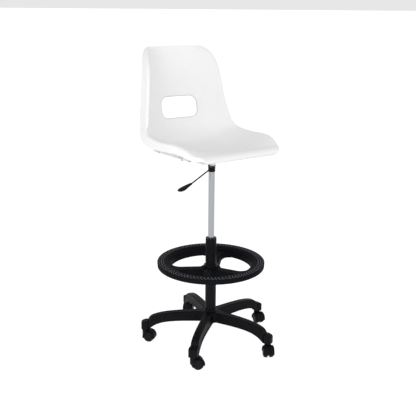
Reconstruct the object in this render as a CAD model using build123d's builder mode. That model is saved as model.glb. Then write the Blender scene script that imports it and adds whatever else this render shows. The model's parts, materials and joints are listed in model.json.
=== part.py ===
from build123d import *
import math
import os

# Drafting chair with a one-piece moulded shell, a gas lift, a foot ring and a five-arm castor base.
# Millimetres, +Z up. The origin is on the floor, under the column's axis.
# The sitter faces -Y, so the sitter's right hand is on -X.

os.makedirs("parts", exist_ok=True)

# ---- clearances -------------------------------------------------------------------------------
RUNNING_GAP = 0.08
SEAT_GAP = 0.02
FACE_GAP = 0.3
THRUST_GAP = 0.1
OVERCUT = 1.0
SMALL_EDGE = 1.0
SAME_SPOT = 0.5

# ---- castors ----------------------------------------------------------------------------------
WHEEL_DIAMETER = 50.0
WHEEL_WIDTH = 18.5
WHEEL_EDGE_RADIUS = 8.0
WHEEL_RING_DIAMETER = 29.0
WHEEL_RING_WIDTH = 2.0
WHEEL_RING_DEPTH = 1.0
WHEEL_CAP_THICKNESS = 3.0
CASTOR_WEB = 9.0
CASTOR_TRAIL = 19.0
CASTOR_HEIGHT = 60.0
HOOD_GAP = 1.5
HOOD_WALL = 3.0
HOOD_LIP_ANGLE = 50.0
HOOD_START_ANGLE = -10.0
HOOD_END_ANGLE = 195.0
HOOD_BOSS_DIAMETER = 30.0
HOOD_BOSS_DROP = 4.0
AXLE_DIAMETER = 8.0
STEM_DIAMETER = 11.0
STEM_COLLAR_DIAMETER = 15.0
STEM_COLLAR_HEIGHT = 1.5
STEM_GRIP_LENGTH = 24.0
STEM_FOOT_LENGTH = 10.0
TRAIL_ANGLES = (-104.0, 40.0, -51.0, -20.0, -121.0)

# ---- star base --------------------------------------------------------------------------------
ARM_COUNT = 5
FIRST_ARM_ANGLE = 4.4
STEM_CIRCLE_RADIUS = 303.0
HUB_RADIUS_TOP = 40.0
HUB_RADIUS_BOTTOM = 50.0
HUB_BOTTOM = 98.0
HUB_TOP = 146.0
ARM_WALL = 4.0
BOSS_LENGTH = 31.0
BOSS_WIDTH = 37.0
BOSS_CORNER = 13.0
BOSS_HEIGHT = 37.0
BOSS_EDGE_RADIUS = 5.0
ARM_CROWN_CHAMFER = 4.0
ARM_SHOULDER = 5.0
HOLLOW_SINK = 14.0
STEM_SOCKET_DEPTH = STEM_GRIP_LENGTH + OVERCUT
FERRULE_HEIGHT = 4.0
FERRULE_EDGE = 1.5
FERRULE_WALL = 4.5
ARM_ROOT = 26.0
ARM_STATION_COUNT = 9
HOLLOW_STATION_COUNT = 7
ARM_FOOT_WIDTH = 50.0
ARM_FOOT_TAPER = 16.0
ARM_CROWN_WIDTH = 36.0
ARM_CROWN_TAPER = 8.0
ARM_ROOT_LIFT = 2.0
ARM_ARCH_RISE = 8.0
ARM_TOP_SAG = 13.0
ARM_TOP_FALL = 20.0
ARM_UNDERSIDE_SAG = 26.0
ARM_UNDERSIDE_FALL = 21.0
ARM_END_SETBACK = 13.0

# ---- gas lift ---------------------------------------------------------------------------------
TUBE_DIAMETER = 50.0
TUBE_WALL = 1.5
TUBE_BOTTOM = HUB_BOTTOM - 4.0
TUBE_TOP = 497.0
TUBE_TAPER = 0.8
TUBE_FLOOR = 3.0
TUBE_FLOOR_RISE = 5.0
BUSH_LENGTH = 82.0
BUSH_FLANGE = 5.0
BUSH_CHAMFER = 2.0
CYLINDER_DIAMETER = 28.0
CYLINDER_BORE = 23.0
CYLINDER_BELOW = 100.0
CYLINDER_END_WALL = 10.0
CYLINDER_EDGE = 1.0
STROKE = 260.0
LOWEST_EXPOSED = 45.0
CYLINDER_EXPOSED = STROKE + LOWEST_EXPOSED
CONE_LENGTH = 32.5
CONE_REDUCTION = 0.9
ROD_DIAMETER = 10.0
ROD_TIP_DIAMETER = 8.0
ROD_TIP_OVERHANG = 3.0
PISTON_LENGTH = 15.0
PISTON_CLEAR = 2.0
BEARING_DIAMETER = 24.0
BEARING_WASHER = 3.0
BEARING_BALL = 5.0
BEARING_BALL_COUNT = 8
BEARING_BALL_CIRCLE = 16.5
BUFFER_DIAMETER = 32.0
BUFFER_LENGTH = 20.0
CLIP_THICKNESS = 1.4
CLIP_DIAMETER = 14.0
GROOVE_DIAMETER = 6.4
PIN_DIAMETER = 5.0
PIN_HEAD_DIAMETER = 10.0
PIN_HEAD_THICKNESS = 4.0
PIN_TRAVEL = 3.0
PIN_STEM_LENGTH = 150.0

# ---- foot ring --------------------------------------------------------------------------------
RING_TOP = 391.0
RING_RADIUS = 245.0
RING_TREAD_INNER = 201.0
RING_INNER = 182.0
RING_OUTER_HEIGHT = 22.0
RING_INNER_HEIGHT = 46.0
RING_SLOPE_DROP = 7.0
RING_WALL = 4.0
RING_EDGE_RADIUS = 3.0
RING_HUB_RADIUS = 38.0
RING_HUB_TOP_DROP = 20.0
RING_HUB_HEIGHT = 58.0
SPOKE_COUNT = 3
FIRST_SPOKE_ANGLE = 44.0
SPOKE_WIDTH = 50.0
SPOKE_FILLET = 36.0
HUB_FLARE_RADIUS = 46.0
HUB_FLARE_FILLET = 20.0
SPOKE_CROWN = 5.0
SPOKE_TOP_DROP = 3.0
SPOKE_BOTTOM_LIFT = 2.0
HUB_EDGE = 3.0
LINER_WALL = 4.0
LINER_LIP = 3.0
CLAMP_ANGLE = -136.0
CLAMP_DROP = 16.0
CLAMP_BOSS_DIAMETER = 26.0
CLAMP_BOSS_REACH = 56.0
CLAMP_KNOB_DIAMETER = 35.0
CLAMP_KNOB_LENGTH = 22.0
CLAMP_KNOB_START = 66.0
CLAMP_STUD_DIAMETER = 8.0
KNOB_LOBES = 7
KNOB_SCALLOP_RADIUS = 5.0
KNOB_SCALLOP_DEPTH = 2.2
KNOB_NECK_DIAMETER = 20.0

# ---- seat frame -------------------------------------------------------------------------------
COLLAR_DIAMETER = 31.5
COLLAR_HEIGHT = 23.5
COLLAR_CHAMFER = 1.0
SOCKET_DIAMETER = 34.0
SOCKET_CHAMFER = 1.0
SOCKET_WINDOW_WIDTH = 14.0
SOCKET_WINDOW_CLEAR = 1.0
TRAY_WIDTH = 190.0
TRAY_DEPTH = 150.0
TRAY_HEIGHT = 22.0
TRAY_SHEET = 2.5
TRAY_CORNER = 10.0
TRAY_DROP = 54.0
BRACKET_SHEET = 2.5
BRACKET_GAP = 0.8
BRACKET_LENGTH = 16.0
BRACKET_BELOW = 7.0
TRAY_HOLE_DIAMETER = 7.0
TRAY_HOLE_RISE = 9.0
TRAY_HOLE_REACH = 65.0
RAIL_SIZE = 19.0
RAIL_WALL = 1.5
RAIL_SPACING = 331.0
RAIL_FRONT = -75.0
RAIL_REAR = 205.0
CROSS_BAR_SPACING = 100.0
RAIL_CORNER = 2.5
END_CAP_FACE = 3.0
END_CAP_PLUG = 12.0
SADDLE_LENGTH = 34.0
SADDLE_WALL = 2.0
SADDLE_GRIP = 0.7
SADDLE_Y = (-16.0, 170.0)
BOSS_OUTER = 24.0
SCREW_DIAMETER = 6.0
SCREW_HEAD_DIAMETER = 12.0
SCREW_HEAD_HEIGHT = 3.3
SCREW_BITE = 14.0
BOLT_DIAMETER = 8.0
BOLT_HEAD_DIAMETER = 15.0
BOLT_HEAD_HEIGHT = 5.0
BOLT_SPACING = 140.0

# ---- lever ------------------------------------------------------------------------------------
LEVER_DIAMETER = 6.0
LEVER_PIVOT_ANGLE = -146.0
LEVER_PIVOT_REACH = 34.0
LEVER_EYE_DIAMETER = 12.0
LEVER_BEND_RISE = 14.0
LEVER_NECK_X = -119.0
LEVER_NECK_Y = -19.0
LEVER_NECK_DROP = 34.0
LEVER_BEND_RADIUS = 7.0
LEVER_FINGER_GAP = 0.3
LEVER_FINGER_OVERRUN = 3.0
LEVER_PADDLE_BITE = 16.0
PADDLE_SETBACK = 1.5
PADDLE_LENGTH = 75.0
PADDLE_WIDTH = 24.0
PADDLE_NECK_WIDTH = 11.0
PADDLE_THICKNESS = 9.0
PADDLE_BELLY = 46.0
PADDLE_TIP_RADIUS = 4.5
PADDLE_EDGE_RADIUS = 2.5
PADDLE_TILT = 17.0
PIVOT_PIN_DIAMETER = 4.0
PIVOT_HEAD_DIAMETER = 8.0
PIVOT_HEAD_THICKNESS = 1.5

# ---- moulded shell ----------------------------------------------------------------------------
SHELL_WALL = 5.0
SHELL_LIFT = 7.0
SHELL_RIM_RADIUS = 9.0
SHELL_RIM_SHARE = 0.75
WING_POWER = 2.6
FLANGE_SPLAY = 0.12
FLANGE_LEAST_DROP = 2.0
OPENING_WIDTH = 191.0
OPENING_HEIGHT = 97.0
OPENING_CORNER = 38.0
OPENING_RISE = 153.0
OPENING_CUT_START = 200.0
OPENING_CUT_DEPTH = 130.0
# place along the chair, height above the seat's low point, half width, wing rise, flange depth
SHELL_STATIONS = (
    (-199.0, -14.0, 140.0, 0.0, 9.0),
    (-211.0, -11.0, 164.0, 0.5, 9.0),
    (-220.0, 0.0, 182.0, 1.5, 10.0),
    (-210.0, 13.0, 200.0, 3.0, 15.0),
    (-180.0, 15.0, 220.0, 9.0, 21.0),
    (-150.0, 12.5, 231.0, 25.0, 28.0),
    (-110.0, 10.0, 240.0, 39.5, 33.0),
    (0.0, 0.0, 248.0, 51.0, 36.0),
    (100.0, 0.0, 246.0, 55.0, 42.0),
    (178.0, 13.0, 240.0, 64.0, 48.0),
    (226.0, 48.0, 231.0, 75.0, 53.0),
    (250.0, 96.0, 222.0, 80.0, 53.0),
    (268.0, 154.0, 212.0, 82.0, 50.0),
    (284.0, 271.0, 196.0, 79.0, 45.0),
    (294.0, 361.0, 181.0, 64.0, 36.0),
    (299.0, 404.0, 167.0, 34.0, 18.0),
    (301.0, 425.0, 138.0, 10.0, 9.0),
)

# ---- heights that follow from the sizes above ---------------------------------------------------
WHEEL_RADIUS = WHEEL_DIAMETER / 2
TUBE_RADIUS = TUBE_DIAMETER / 2
TUBE_INNER = TUBE_RADIUS - TUBE_WALL
BUSH_TOP = TUBE_TOP + BUSH_FLANGE
CYLINDER_RADIUS = CYLINDER_DIAMETER / 2
CYLINDER_BOTTOM = BUSH_TOP - CYLINDER_BELOW
COLLAR_BOTTOM = BUSH_TOP + CYLINDER_EXPOSED
SOCKET_BOTTOM = COLLAR_BOTTOM + COLLAR_HEIGHT
CONE_TOP = SOCKET_BOTTOM + CONE_LENGTH
TRAY_BOTTOM = COLLAR_BOTTOM + TRAY_DROP
TRAY_TOP = TRAY_BOTTOM + TRAY_HEIGHT
RAIL_BOTTOM = TRAY_TOP
RAIL_TOP = RAIL_BOTTOM + RAIL_SIZE
SHELL_LOW = RAIL_TOP + SHELL_LIFT
TUBE_FLOOR_TOP = TUBE_BOTTOM + TUBE_FLOOR_RISE
BEARING_TOP = TUBE_FLOOR_TOP + 2 * BEARING_WASHER + BEARING_BALL
PISTON_TOP = CYLINDER_BOTTOM + CYLINDER_END_WALL + PISTON_CLEAR + PISTON_LENGTH
PIN_TOP = CONE_TOP + PIN_TRAVEL + FACE_GAP + PIN_HEAD_THICKNESS
LEVER_PIVOT_Z = PIN_TOP + LEVER_FINGER_GAP + LEVER_DIAMETER / 2
LEVER_BEND_Z = COLLAR_BOTTOM + LEVER_BEND_RISE
LEVER_NECK_Z = COLLAR_BOTTOM - LEVER_NECK_DROP
RING_HUB_TOP = RING_TOP - RING_HUB_TOP_DROP
RING_HUB_BOTTOM = RING_HUB_TOP - RING_HUB_HEIGHT
LINER_BORE = TUBE_RADIUS + RUNNING_GAP
LINER_OUTER = LINER_BORE + LINER_WALL
HUB_BORE = LINER_OUTER + RUNNING_GAP
RAIL_X = RAIL_SPACING / 2


def save(part, label):
    """Label one finished piece and write its STEP file."""
    part.label = label
    export_step(part, f"parts/{label}.step")


def tube_radius_at(height):
    """Outer radius of the column's outer tube: it tapers below the base hub's top."""
    if height >= HUB_TOP:
        return TUBE_RADIUS
    return TUBE_RADIUS - TUBE_TAPER * (HUB_TOP - height) / (HUB_TOP - TUBE_BOTTOM)


def around_axis(angle, radius=0.0, height=0.0):
    """Plane at an angle round the column: local X points outwards, local Z up."""
    turn = math.radians(angle)
    out = (math.cos(turn), math.sin(turn), 0)
    return Plane(origin=(radius * out[0], radius * out[1], height), x_dir=out, z_dir=(0, 0, 1))


def upright_plane(angle, radius=0.0, height=0.0):
    """Upright plane through the column's axis: local X points outwards, local Y up."""
    turn = math.radians(angle)
    out = (math.cos(turn), math.sin(turn), 0)
    side = (math.sin(turn), -math.cos(turn), 0)
    return Plane(origin=(radius * out[0], radius * out[1], height), x_dir=out, z_dir=side)


def facing_plane(angle, radius, height=0.0):
    """Upright plane that faces outwards at a distance from the column: local Y is up."""
    turn = math.radians(angle)
    out = (math.cos(turn), math.sin(turn), 0)
    side = (-math.sin(turn), math.cos(turn), 0)
    return Plane(origin=(radius * out[0], radius * out[1], height), x_dir=side, z_dir=out)


# ==== moulded shell ==============================================================================
def shell_half(half_width, rise, flange):
    """Upper surface of half a cross section, from the middle out to the flange's lower edge.

    The wing climbs as a power of the distance from the middle, rolls over the rim in an arc and
    drops straight down the flange. Each point comes with the surface's outward normal.
    """
    rim = min(SHELL_RIM_RADIUS, SHELL_RIM_SHARE * flange)
    lean = math.atan(WING_POWER * rise / (half_width - rim))
    reach = half_width - 0.5 * rim - rim * math.sin(lean)
    lean = math.atan(WING_POWER * rise / reach)
    points = []
    for share in (0.0, 0.2, 0.4, 0.55, 0.7, 0.82, 0.92, 1.0):
        slope = WING_POWER * rise / reach * share ** (WING_POWER - 1)
        length = math.hypot(slope, 1)
        points.append((reach * share, rise * share**WING_POWER, -slope / length, 1 / length))
    centre_x = reach + rim * math.sin(lean)
    centre_y = rise - rim * math.cos(lean)
    for step in (0.75, 0.5, 0.25, 0.0):
        turn = (math.pi / 2 + lean) * step
        across = math.cos(turn)
        up = math.sin(turn)
        points.append((centre_x + rim * across, centre_y + rim * up, across, up))
    drop = max(flange - rim, FLANGE_LEAST_DROP)
    for step in (0.5, 1.0):
        points.append((centre_x + rim + FLANGE_SPLAY * drop * step, centre_y - drop * step, 1, 0))
    return points


def shell_outlines(half_width, rise, flange):
    """Outer and inner curves of one cross section, each from left to right."""
    half = shell_half(half_width, rise, flange)
    left = [(-x, y, -across, up) for x, y, across, up in reversed(half)]
    whole = left + half[1:]
    outer = [(x, y) for x, y, across, up in whole]
    inner = [(x - SHELL_WALL * across, y - SHELL_WALL * up) for x, y, across, up in whole]
    return outer, inner


with BuildLine() as shell_centre:
    centre_line = Spline([(0, y, SHELL_LOW + height) for y, height, *rest in SHELL_STATIONS])

with BuildPart() as seat_shell:
    for y, height, half_width, rise, flange in SHELL_STATIONS:
        spot = Vector(0, y, SHELL_LOW + height)
        along = centre_line.tangent_at(centre_line.param_at_point(spot))
        outer, inner = shell_outlines(half_width, rise, flange)
        with BuildSketch(Plane(origin=spot, x_dir=(1, 0, 0), z_dir=-along)):
            with BuildLine():
                Spline(outer)
                Line(outer[-1], inner[-1])
                Spline(inner[::-1])
                Line(inner[0], outer[0])
            make_face()
    loft()
    with BuildSketch(Plane.XZ.offset(-OPENING_CUT_START)):
        with Locations((0, SHELL_LOW + OPENING_RISE)):
            RectangleRounded(OPENING_WIDTH, OPENING_HEIGHT, OPENING_CORNER)
    extrude(amount=-OPENING_CUT_DEPTH, mode=Mode.SUBTRACT)
    boss_bottom = RAIL_TOP + SADDLE_WALL
    with BuildSketch(Plane.XY.offset(boss_bottom)):
        with Locations([(side * RAIL_X, y) for side in (-1, 1) for y in SADDLE_Y]):
            Circle(BOSS_OUTER / 2)
    extrude(until=Until.NEXT)
    with BuildSketch(Plane.XY.offset(boss_bottom)):
        with Locations([(side * RAIL_X, y) for side in (-1, 1) for y in SADDLE_Y]):
            Circle(SCREW_DIAMETER / 2 + SEAT_GAP)
    extrude(amount=SCREW_BITE + OVERCUT, mode=Mode.SUBTRACT)
save(seat_shell.part, "seat_shell")


# ==== seat frame =================================================================================
def square_tube(sketch_plane, length):
    """Square steel tube with rounded corners, drawn on its end plane and extruded."""
    with BuildPart() as tube:
        with BuildSketch(sketch_plane):
            RectangleRounded(RAIL_SIZE, RAIL_SIZE, RAIL_CORNER)
            inside = RAIL_SIZE - 2 * RAIL_WALL
            RectangleRounded(inside, inside, RAIL_CORNER - RAIL_WALL, mode=Mode.SUBTRACT)
        extrude(amount=length)
    return tube.part


rail_middle = RAIL_BOTTOM + RAIL_SIZE / 2
rail_length = RAIL_REAR - RAIL_FRONT
rail_holes_z = RAIL_BOTTOM - OVERCUT
for side, name in ((-1, "side_rail_left"), (1, "side_rail_right")):
    rail_plane = Plane(origin=(side * RAIL_X, RAIL_REAR, rail_middle), x_dir=(1, 0, 0), z_dir=(0, -1, 0))
    with BuildPart() as side_rail:
        add(square_tube(rail_plane, rail_length))
        with BuildSketch(Plane.XY.offset(rail_holes_z)):
            with Locations([(side * RAIL_X, y) for y in SADDLE_Y]):
                Circle(SCREW_DIAMETER / 2 + FACE_GAP)
        extrude(amount=RAIL_SIZE + 2 * OVERCUT, mode=Mode.SUBTRACT)
    save(side_rail.part, name)

bar_reach = RAIL_X - RAIL_SIZE / 2
bolt_x = BOLT_SPACING / 2
for y, name in ((-CROSS_BAR_SPACING / 2, "front_cross_bar"), (CROSS_BAR_SPACING / 2, "rear_cross_bar")):
    bar_plane = Plane(origin=(-bar_reach, y, rail_middle), x_dir=(0, 1, 0), z_dir=(1, 0, 0))
    with BuildPart() as cross_bar:
        add(square_tube(bar_plane, 2 * bar_reach))
        with BuildSketch(Plane.XY.offset(RAIL_BOTTOM - OVERCUT)):
            with Locations((-bolt_x, y), (bolt_x, y)):
                Circle(BOLT_DIAMETER / 2 + FACE_GAP)
        extrude(amount=RAIL_SIZE / 2, mode=Mode.SUBTRACT)
    save(cross_bar.part, name)

with BuildPart() as rail_end_caps:
    for side in (-1, 1):
        for y, facing in ((RAIL_FRONT, -1), (RAIL_REAR, 1)):
            cap_plane = Plane(origin=(side * RAIL_X, y, rail_middle), x_dir=(1, 0, 0), z_dir=(0, facing, 0))
            with BuildSketch(cap_plane):
                RectangleRounded(RAIL_SIZE, RAIL_SIZE, RAIL_CORNER)
            extrude(amount=END_CAP_FACE)
            plug = RAIL_SIZE - 2 * RAIL_WALL - 2 * SEAT_GAP
            with BuildSketch(cap_plane):
                RectangleRounded(plug, plug, RAIL_CORNER - RAIL_WALL)
            extrude(amount=-END_CAP_PLUG)
save(rail_end_caps.part, "rail_end_caps")

saddle_outer = RAIL_SIZE + 2 * SADDLE_WALL
with BuildPart() as rail_saddles:
    for side in (-1, 1):
        for y in SADDLE_Y:
            saddle_plane = Plane(
                origin=(side * RAIL_X, y - SADDLE_LENGTH / 2, RAIL_TOP), x_dir=(1, 0, 0), z_dir=(0, -1, 0)
            )
            with BuildSketch(saddle_plane):
                with Locations((0, SADDLE_WALL / 2)):
                    Rectangle(saddle_outer, SADDLE_WALL)
                for edge in (-1, 1):
                    with Locations((edge * (saddle_outer - SADDLE_WALL) / 2, -SADDLE_GRIP * RAIL_SIZE / 2)):
                        Rectangle(SADDLE_WALL - 2 * SEAT_GAP, SADDLE_GRIP * RAIL_SIZE)
            extrude(amount=-SADDLE_LENGTH)
    with BuildSketch(Plane.XY.offset(RAIL_TOP - OVERCUT)):
        with Locations([(side * RAIL_X, y) for side in (-1, 1) for y in SADDLE_Y]):
            Circle(SCREW_DIAMETER / 2 + FACE_GAP)
    extrude(amount=SADDLE_WALL + 2 * OVERCUT, mode=Mode.SUBTRACT)
save(rail_saddles.part, "rail_saddles")

with BuildPart() as shell_screws:
    screw_spots = [(side * RAIL_X, y) for side in (-1, 1) for y in SADDLE_Y]
    with BuildSketch(Plane.XY.offset(RAIL_BOTTOM - SCREW_HEAD_HEIGHT)):
        with Locations(screw_spots):
            Circle(SCREW_HEAD_DIAMETER / 2)
    extrude(amount=SCREW_HEAD_HEIGHT)
    with BuildSketch(Plane.XY.offset(RAIL_BOTTOM)):
        with Locations(screw_spots):
            Circle(SCREW_DIAMETER / 2)
    extrude(amount=RAIL_SIZE + SADDLE_WALL + SCREW_BITE)
save(shell_screws.part, "shell_screws")

tray_bolt_spots = [(x, y) for x in (-bolt_x, bolt_x) for y in (-CROSS_BAR_SPACING / 2, CROSS_BAR_SPACING / 2)]
socket_hole = SOCKET_DIAMETER / 2 + SEAT_GAP
with BuildPart() as seat_plate:
    with BuildSketch(Plane.XY.offset(TRAY_BOTTOM)):
        RectangleRounded(TRAY_WIDTH, TRAY_DEPTH, TRAY_CORNER)
    extrude(amount=TRAY_HEIGHT)
    with BuildSketch(Plane.XY.offset(TRAY_BOTTOM)):
        RectangleRounded(TRAY_WIDTH - 2 * TRAY_SHEET, TRAY_DEPTH - 2 * TRAY_SHEET, TRAY_CORNER - TRAY_SHEET)
    extrude(amount=TRAY_HEIGHT - TRAY_SHEET, mode=Mode.SUBTRACT)
    with BuildSketch(Plane.XZ.offset(TRAY_DEPTH / 2 + OVERCUT)):
        with Locations((-TRAY_HOLE_REACH, TRAY_BOTTOM + TRAY_HOLE_RISE), (TRAY_HOLE_REACH, TRAY_BOTTOM + TRAY_HOLE_RISE)):
            Circle(TRAY_HOLE_DIAMETER / 2)
    extrude(amount=-TRAY_DEPTH - 2 * OVERCUT, mode=Mode.SUBTRACT)
    with BuildSketch(Plane.XY.offset(TRAY_BOTTOM)):
        with Locations(tray_bolt_spots):
            Circle(BOLT_DIAMETER / 2 + FACE_GAP)
        Circle(socket_hole)
    extrude(amount=TRAY_HEIGHT, mode=Mode.SUBTRACT)
save(seat_plate.part, "seat_plate")

with BuildPart() as plate_bolts:
    plate_underside = TRAY_TOP - TRAY_SHEET
    with BuildSketch(Plane.XY.offset(plate_underside - BOLT_HEAD_HEIGHT)):
        with Locations(tray_bolt_spots):
            RegularPolygon(BOLT_HEAD_DIAMETER / 2, 6)
    extrude(amount=BOLT_HEAD_HEIGHT)
    with BuildSketch(Plane.XY.offset(plate_underside)):
        with Locations(tray_bolt_spots):
            Circle(BOLT_DIAMETER / 2)
    extrude(amount=TRAY_SHEET + RAIL_SIZE - RAIL_WALL - OVERCUT)
save(plate_bolts.part, "plate_bolts")

cone_top_radius = CYLINDER_RADIUS - CONE_REDUCTION
socket_radius = SOCKET_DIAMETER / 2
window_bottom = CONE_TOP + SOCKET_WINDOW_CLEAR
with BuildPart() as taper_socket:
    with BuildSketch(Plane.XZ):
        with BuildLine():
            Polyline(
                (CYLINDER_RADIUS + SEAT_GAP, SOCKET_BOTTOM),
                (socket_radius, SOCKET_BOTTOM),
                (socket_radius, TRAY_TOP),
                (cone_top_radius + SEAT_GAP, TRAY_TOP),
                (cone_top_radius + SEAT_GAP, CONE_TOP),
                close=True,
            )
        make_face()
    revolve(axis=Axis.Z)
    chamfer(taper_socket.edges().group_by(Axis.Z)[0].sort_by(SortBy.RADIUS)[-1], SOCKET_CHAMFER)
    with BuildSketch(around_axis(LEVER_PIVOT_ANGLE, 0, window_bottom)):
        with Locations((socket_radius, 0)):
            Rectangle(2 * socket_radius, SOCKET_WINDOW_WIDTH)
    extrude(amount=TRAY_TOP - TRAY_SHEET - window_bottom, mode=Mode.SUBTRACT)
save(taper_socket.part, "taper_socket")

with BuildPart() as lever_collar:
    with BuildSketch(Plane.XY.offset(COLLAR_BOTTOM)):
        Circle(COLLAR_DIAMETER / 2)
        Circle(CYLINDER_RADIUS + SEAT_GAP, mode=Mode.SUBTRACT)
    extrude(amount=COLLAR_HEIGHT)
    chamfer(lever_collar.edges().group_by(Axis.Z)[0].sort_by(SortBy.RADIUS)[-1], COLLAR_CHAMFER)
save(lever_collar.part, "lever_collar")


# ==== height lever ===============================================================================
ear_inner = LEVER_DIAMETER / 2 + BRACKET_GAP
ear_outer = ear_inner + BRACKET_SHEET
ear_bottom = LEVER_PIVOT_Z - BRACKET_BELOW
ear_top = TRAY_TOP - TRAY_SHEET
pivot_plane = upright_plane(LEVER_PIVOT_ANGLE, LEVER_PIVOT_REACH, LEVER_PIVOT_Z)
with BuildPart() as lever_bracket:
    with BuildSketch(around_axis(LEVER_PIVOT_ANGLE, LEVER_PIVOT_REACH, ear_bottom)):
        with Locations((0, -ear_inner - BRACKET_SHEET / 2), (0, ear_inner + BRACKET_SHEET / 2)):
            Rectangle(BRACKET_LENGTH, BRACKET_SHEET)
    extrude(amount=ear_top - ear_bottom)
    with BuildSketch(pivot_plane.offset(-2 * ear_outer)):
        Circle(PIVOT_PIN_DIAMETER / 2 + SEAT_GAP)
    extrude(amount=4 * ear_outer, mode=Mode.SUBTRACT)
save(lever_bracket.part, "lever_bracket")

with BuildPart() as lever_pivot_pin:
    with BuildSketch(pivot_plane.offset(ear_outer)):
        Circle(PIVOT_HEAD_DIAMETER / 2)
    extrude(amount=PIVOT_HEAD_THICKNESS)
    with BuildSketch(pivot_plane.offset(-ear_outer)):
        Circle(PIVOT_PIN_DIAMETER / 2)
    extrude(amount=2 * ear_outer)
save(lever_pivot_pin.part, "lever_pivot_pin")

paddle_lean = math.radians(PADDLE_TILT)
paddle_direction = Vector(-math.cos(paddle_lean), 0, -math.sin(paddle_lean))
neck = Vector(LEVER_NECK_X, LEVER_NECK_Y, LEVER_NECK_Z)
paddle_root = neck + paddle_direction * PADDLE_SETBACK
pivot_spot = pivot_plane.origin
finger_plane = upright_plane(LEVER_PIVOT_ANGLE, -LEVER_FINGER_OVERRUN, LEVER_PIVOT_Z)
with BuildPart() as lever_rod:
    with BuildLine() as lever_path:
        FilletPolyline(
            finger_plane.origin,
            pivot_spot,
            (pivot_spot.X, pivot_spot.Y, LEVER_BEND_Z),
            neck,
            paddle_root + paddle_direction * LEVER_PADDLE_BITE,
            radius=LEVER_BEND_RADIUS,
        )
    with BuildSketch(Plane(origin=lever_path.line @ 0, z_dir=lever_path.line % 0)):
        Circle(LEVER_DIAMETER / 2)
    sweep()
    with BuildSketch(pivot_plane.offset(-LEVER_DIAMETER / 2)):
        Circle(LEVER_EYE_DIAMETER / 2)
    extrude(amount=LEVER_DIAMETER)
    with BuildSketch(pivot_plane.offset(-LEVER_DIAMETER)):
        Circle(PIVOT_PIN_DIAMETER / 2 + RUNNING_GAP)
    extrude(amount=2 * LEVER_DIAMETER, mode=Mode.SUBTRACT)
save(lever_rod.part, "lever_rod")

paddle_plane = Plane(
    origin=paddle_root, x_dir=paddle_direction, z_dir=(-math.sin(paddle_lean), 0, math.cos(paddle_lean))
)
with BuildPart() as lever_paddle:
    with BuildSketch(paddle_plane.offset(-PADDLE_THICKNESS / 2)):
        half_neck = PADDLE_NECK_WIDTH / 2
        for reach, radius in (
            (half_neck, half_neck),
            (PADDLE_BELLY, PADDLE_WIDTH / 2),
            (PADDLE_LENGTH - PADDLE_TIP_RADIUS, PADDLE_TIP_RADIUS),
        ):
            with Locations((reach, 0)):
                Circle(radius)
        make_hull()
    extrude(amount=PADDLE_THICKNESS)
    fillet(lever_paddle.faces().group_by(Axis((0, 0, 0), paddle_plane.z_dir))[-1].edges(), PADDLE_EDGE_RADIUS)
    fillet(lever_paddle.faces().group_by(Axis((0, 0, 0), paddle_plane.z_dir))[0].edges(), PADDLE_EDGE_RADIUS)
    with BuildSketch(Plane(origin=paddle_root, z_dir=paddle_direction)):
        Circle(LEVER_DIAMETER / 2 + SEAT_GAP)
    extrude(amount=LEVER_PADDLE_BITE + FACE_GAP, mode=Mode.SUBTRACT)
save(lever_paddle.part, "lever_paddle")


# ==== gas lift ===================================================================================
def turned(points):
    """Solid turned round the column's axis from a closed outline of (radius, height) points."""
    with BuildPart() as piece:
        with BuildSketch(Plane.XZ):
            with BuildLine():
                Polyline(*points, close=True)
            make_face()
        revolve(axis=Axis.Z)
    return piece.part


pin_bore = PIN_DIAMETER / 2 + RUNNING_GAP
rod_bore = ROD_DIAMETER / 2 + RUNNING_GAP
cylinder_cavity = CYLINDER_BORE / 2
valve_floor = CONE_TOP - PIN_STEM_LENGTH
with BuildPart() as gas_cylinder:
    add(
        turned(
            [
                (rod_bore, CYLINDER_BOTTOM),
                (CYLINDER_RADIUS - CYLINDER_EDGE, CYLINDER_BOTTOM),
                (CYLINDER_RADIUS, CYLINDER_BOTTOM + 2 * CYLINDER_EDGE),
                (CYLINDER_RADIUS, SOCKET_BOTTOM),
                (cone_top_radius, CONE_TOP),
                (pin_bore, CONE_TOP),
                (pin_bore, valve_floor),
                (cylinder_cavity, valve_floor),
                (cylinder_cavity, CYLINDER_BOTTOM + CYLINDER_END_WALL),
                (rod_bore, CYLINDER_BOTTOM + CYLINDER_END_WALL),
            ]
        )
    )
save(gas_cylinder.part, "gas_cylinder")

with BuildPart() as release_pin:
    with BuildSketch(Plane.XY.offset(valve_floor + PIN_TRAVEL + FACE_GAP)):
        Circle(PIN_DIAMETER / 2)
    extrude(amount=PIN_TOP - valve_floor - PIN_TRAVEL - FACE_GAP)
    with BuildSketch(Plane.XY.offset(PIN_TOP - PIN_HEAD_THICKNESS)):
        Circle(PIN_HEAD_DIAMETER / 2)
    extrude(amount=PIN_HEAD_THICKNESS)
    fillet(release_pin.edges().group_by(Axis.Z)[-1], SMALL_EDGE)
save(release_pin.part, "release_pin")

tube_floor_bottom = TUBE_FLOOR_TOP - TUBE_FLOOR
tip_bore = ROD_TIP_DIAMETER / 2 + RUNNING_GAP
floor_radius = tube_radius_at(TUBE_FLOOR_TOP) - TUBE_WALL
with BuildPart() as outer_tube:
    add(
        turned(
            [
                (tube_radius_at(TUBE_BOTTOM) - TUBE_WALL, TUBE_BOTTOM),
                (tube_radius_at(TUBE_BOTTOM), TUBE_BOTTOM),
                (TUBE_RADIUS, HUB_TOP),
                (TUBE_RADIUS, TUBE_TOP),
                (TUBE_INNER, TUBE_TOP),
                (TUBE_INNER, HUB_TOP),
                (floor_radius, TUBE_FLOOR_TOP),
                (tip_bore, TUBE_FLOOR_TOP),
                (tip_bore, tube_floor_bottom),
                (tube_radius_at(tube_floor_bottom) - TUBE_WALL, tube_floor_bottom),
            ]
        )
    )
save(outer_tube.part, "outer_tube")

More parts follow.
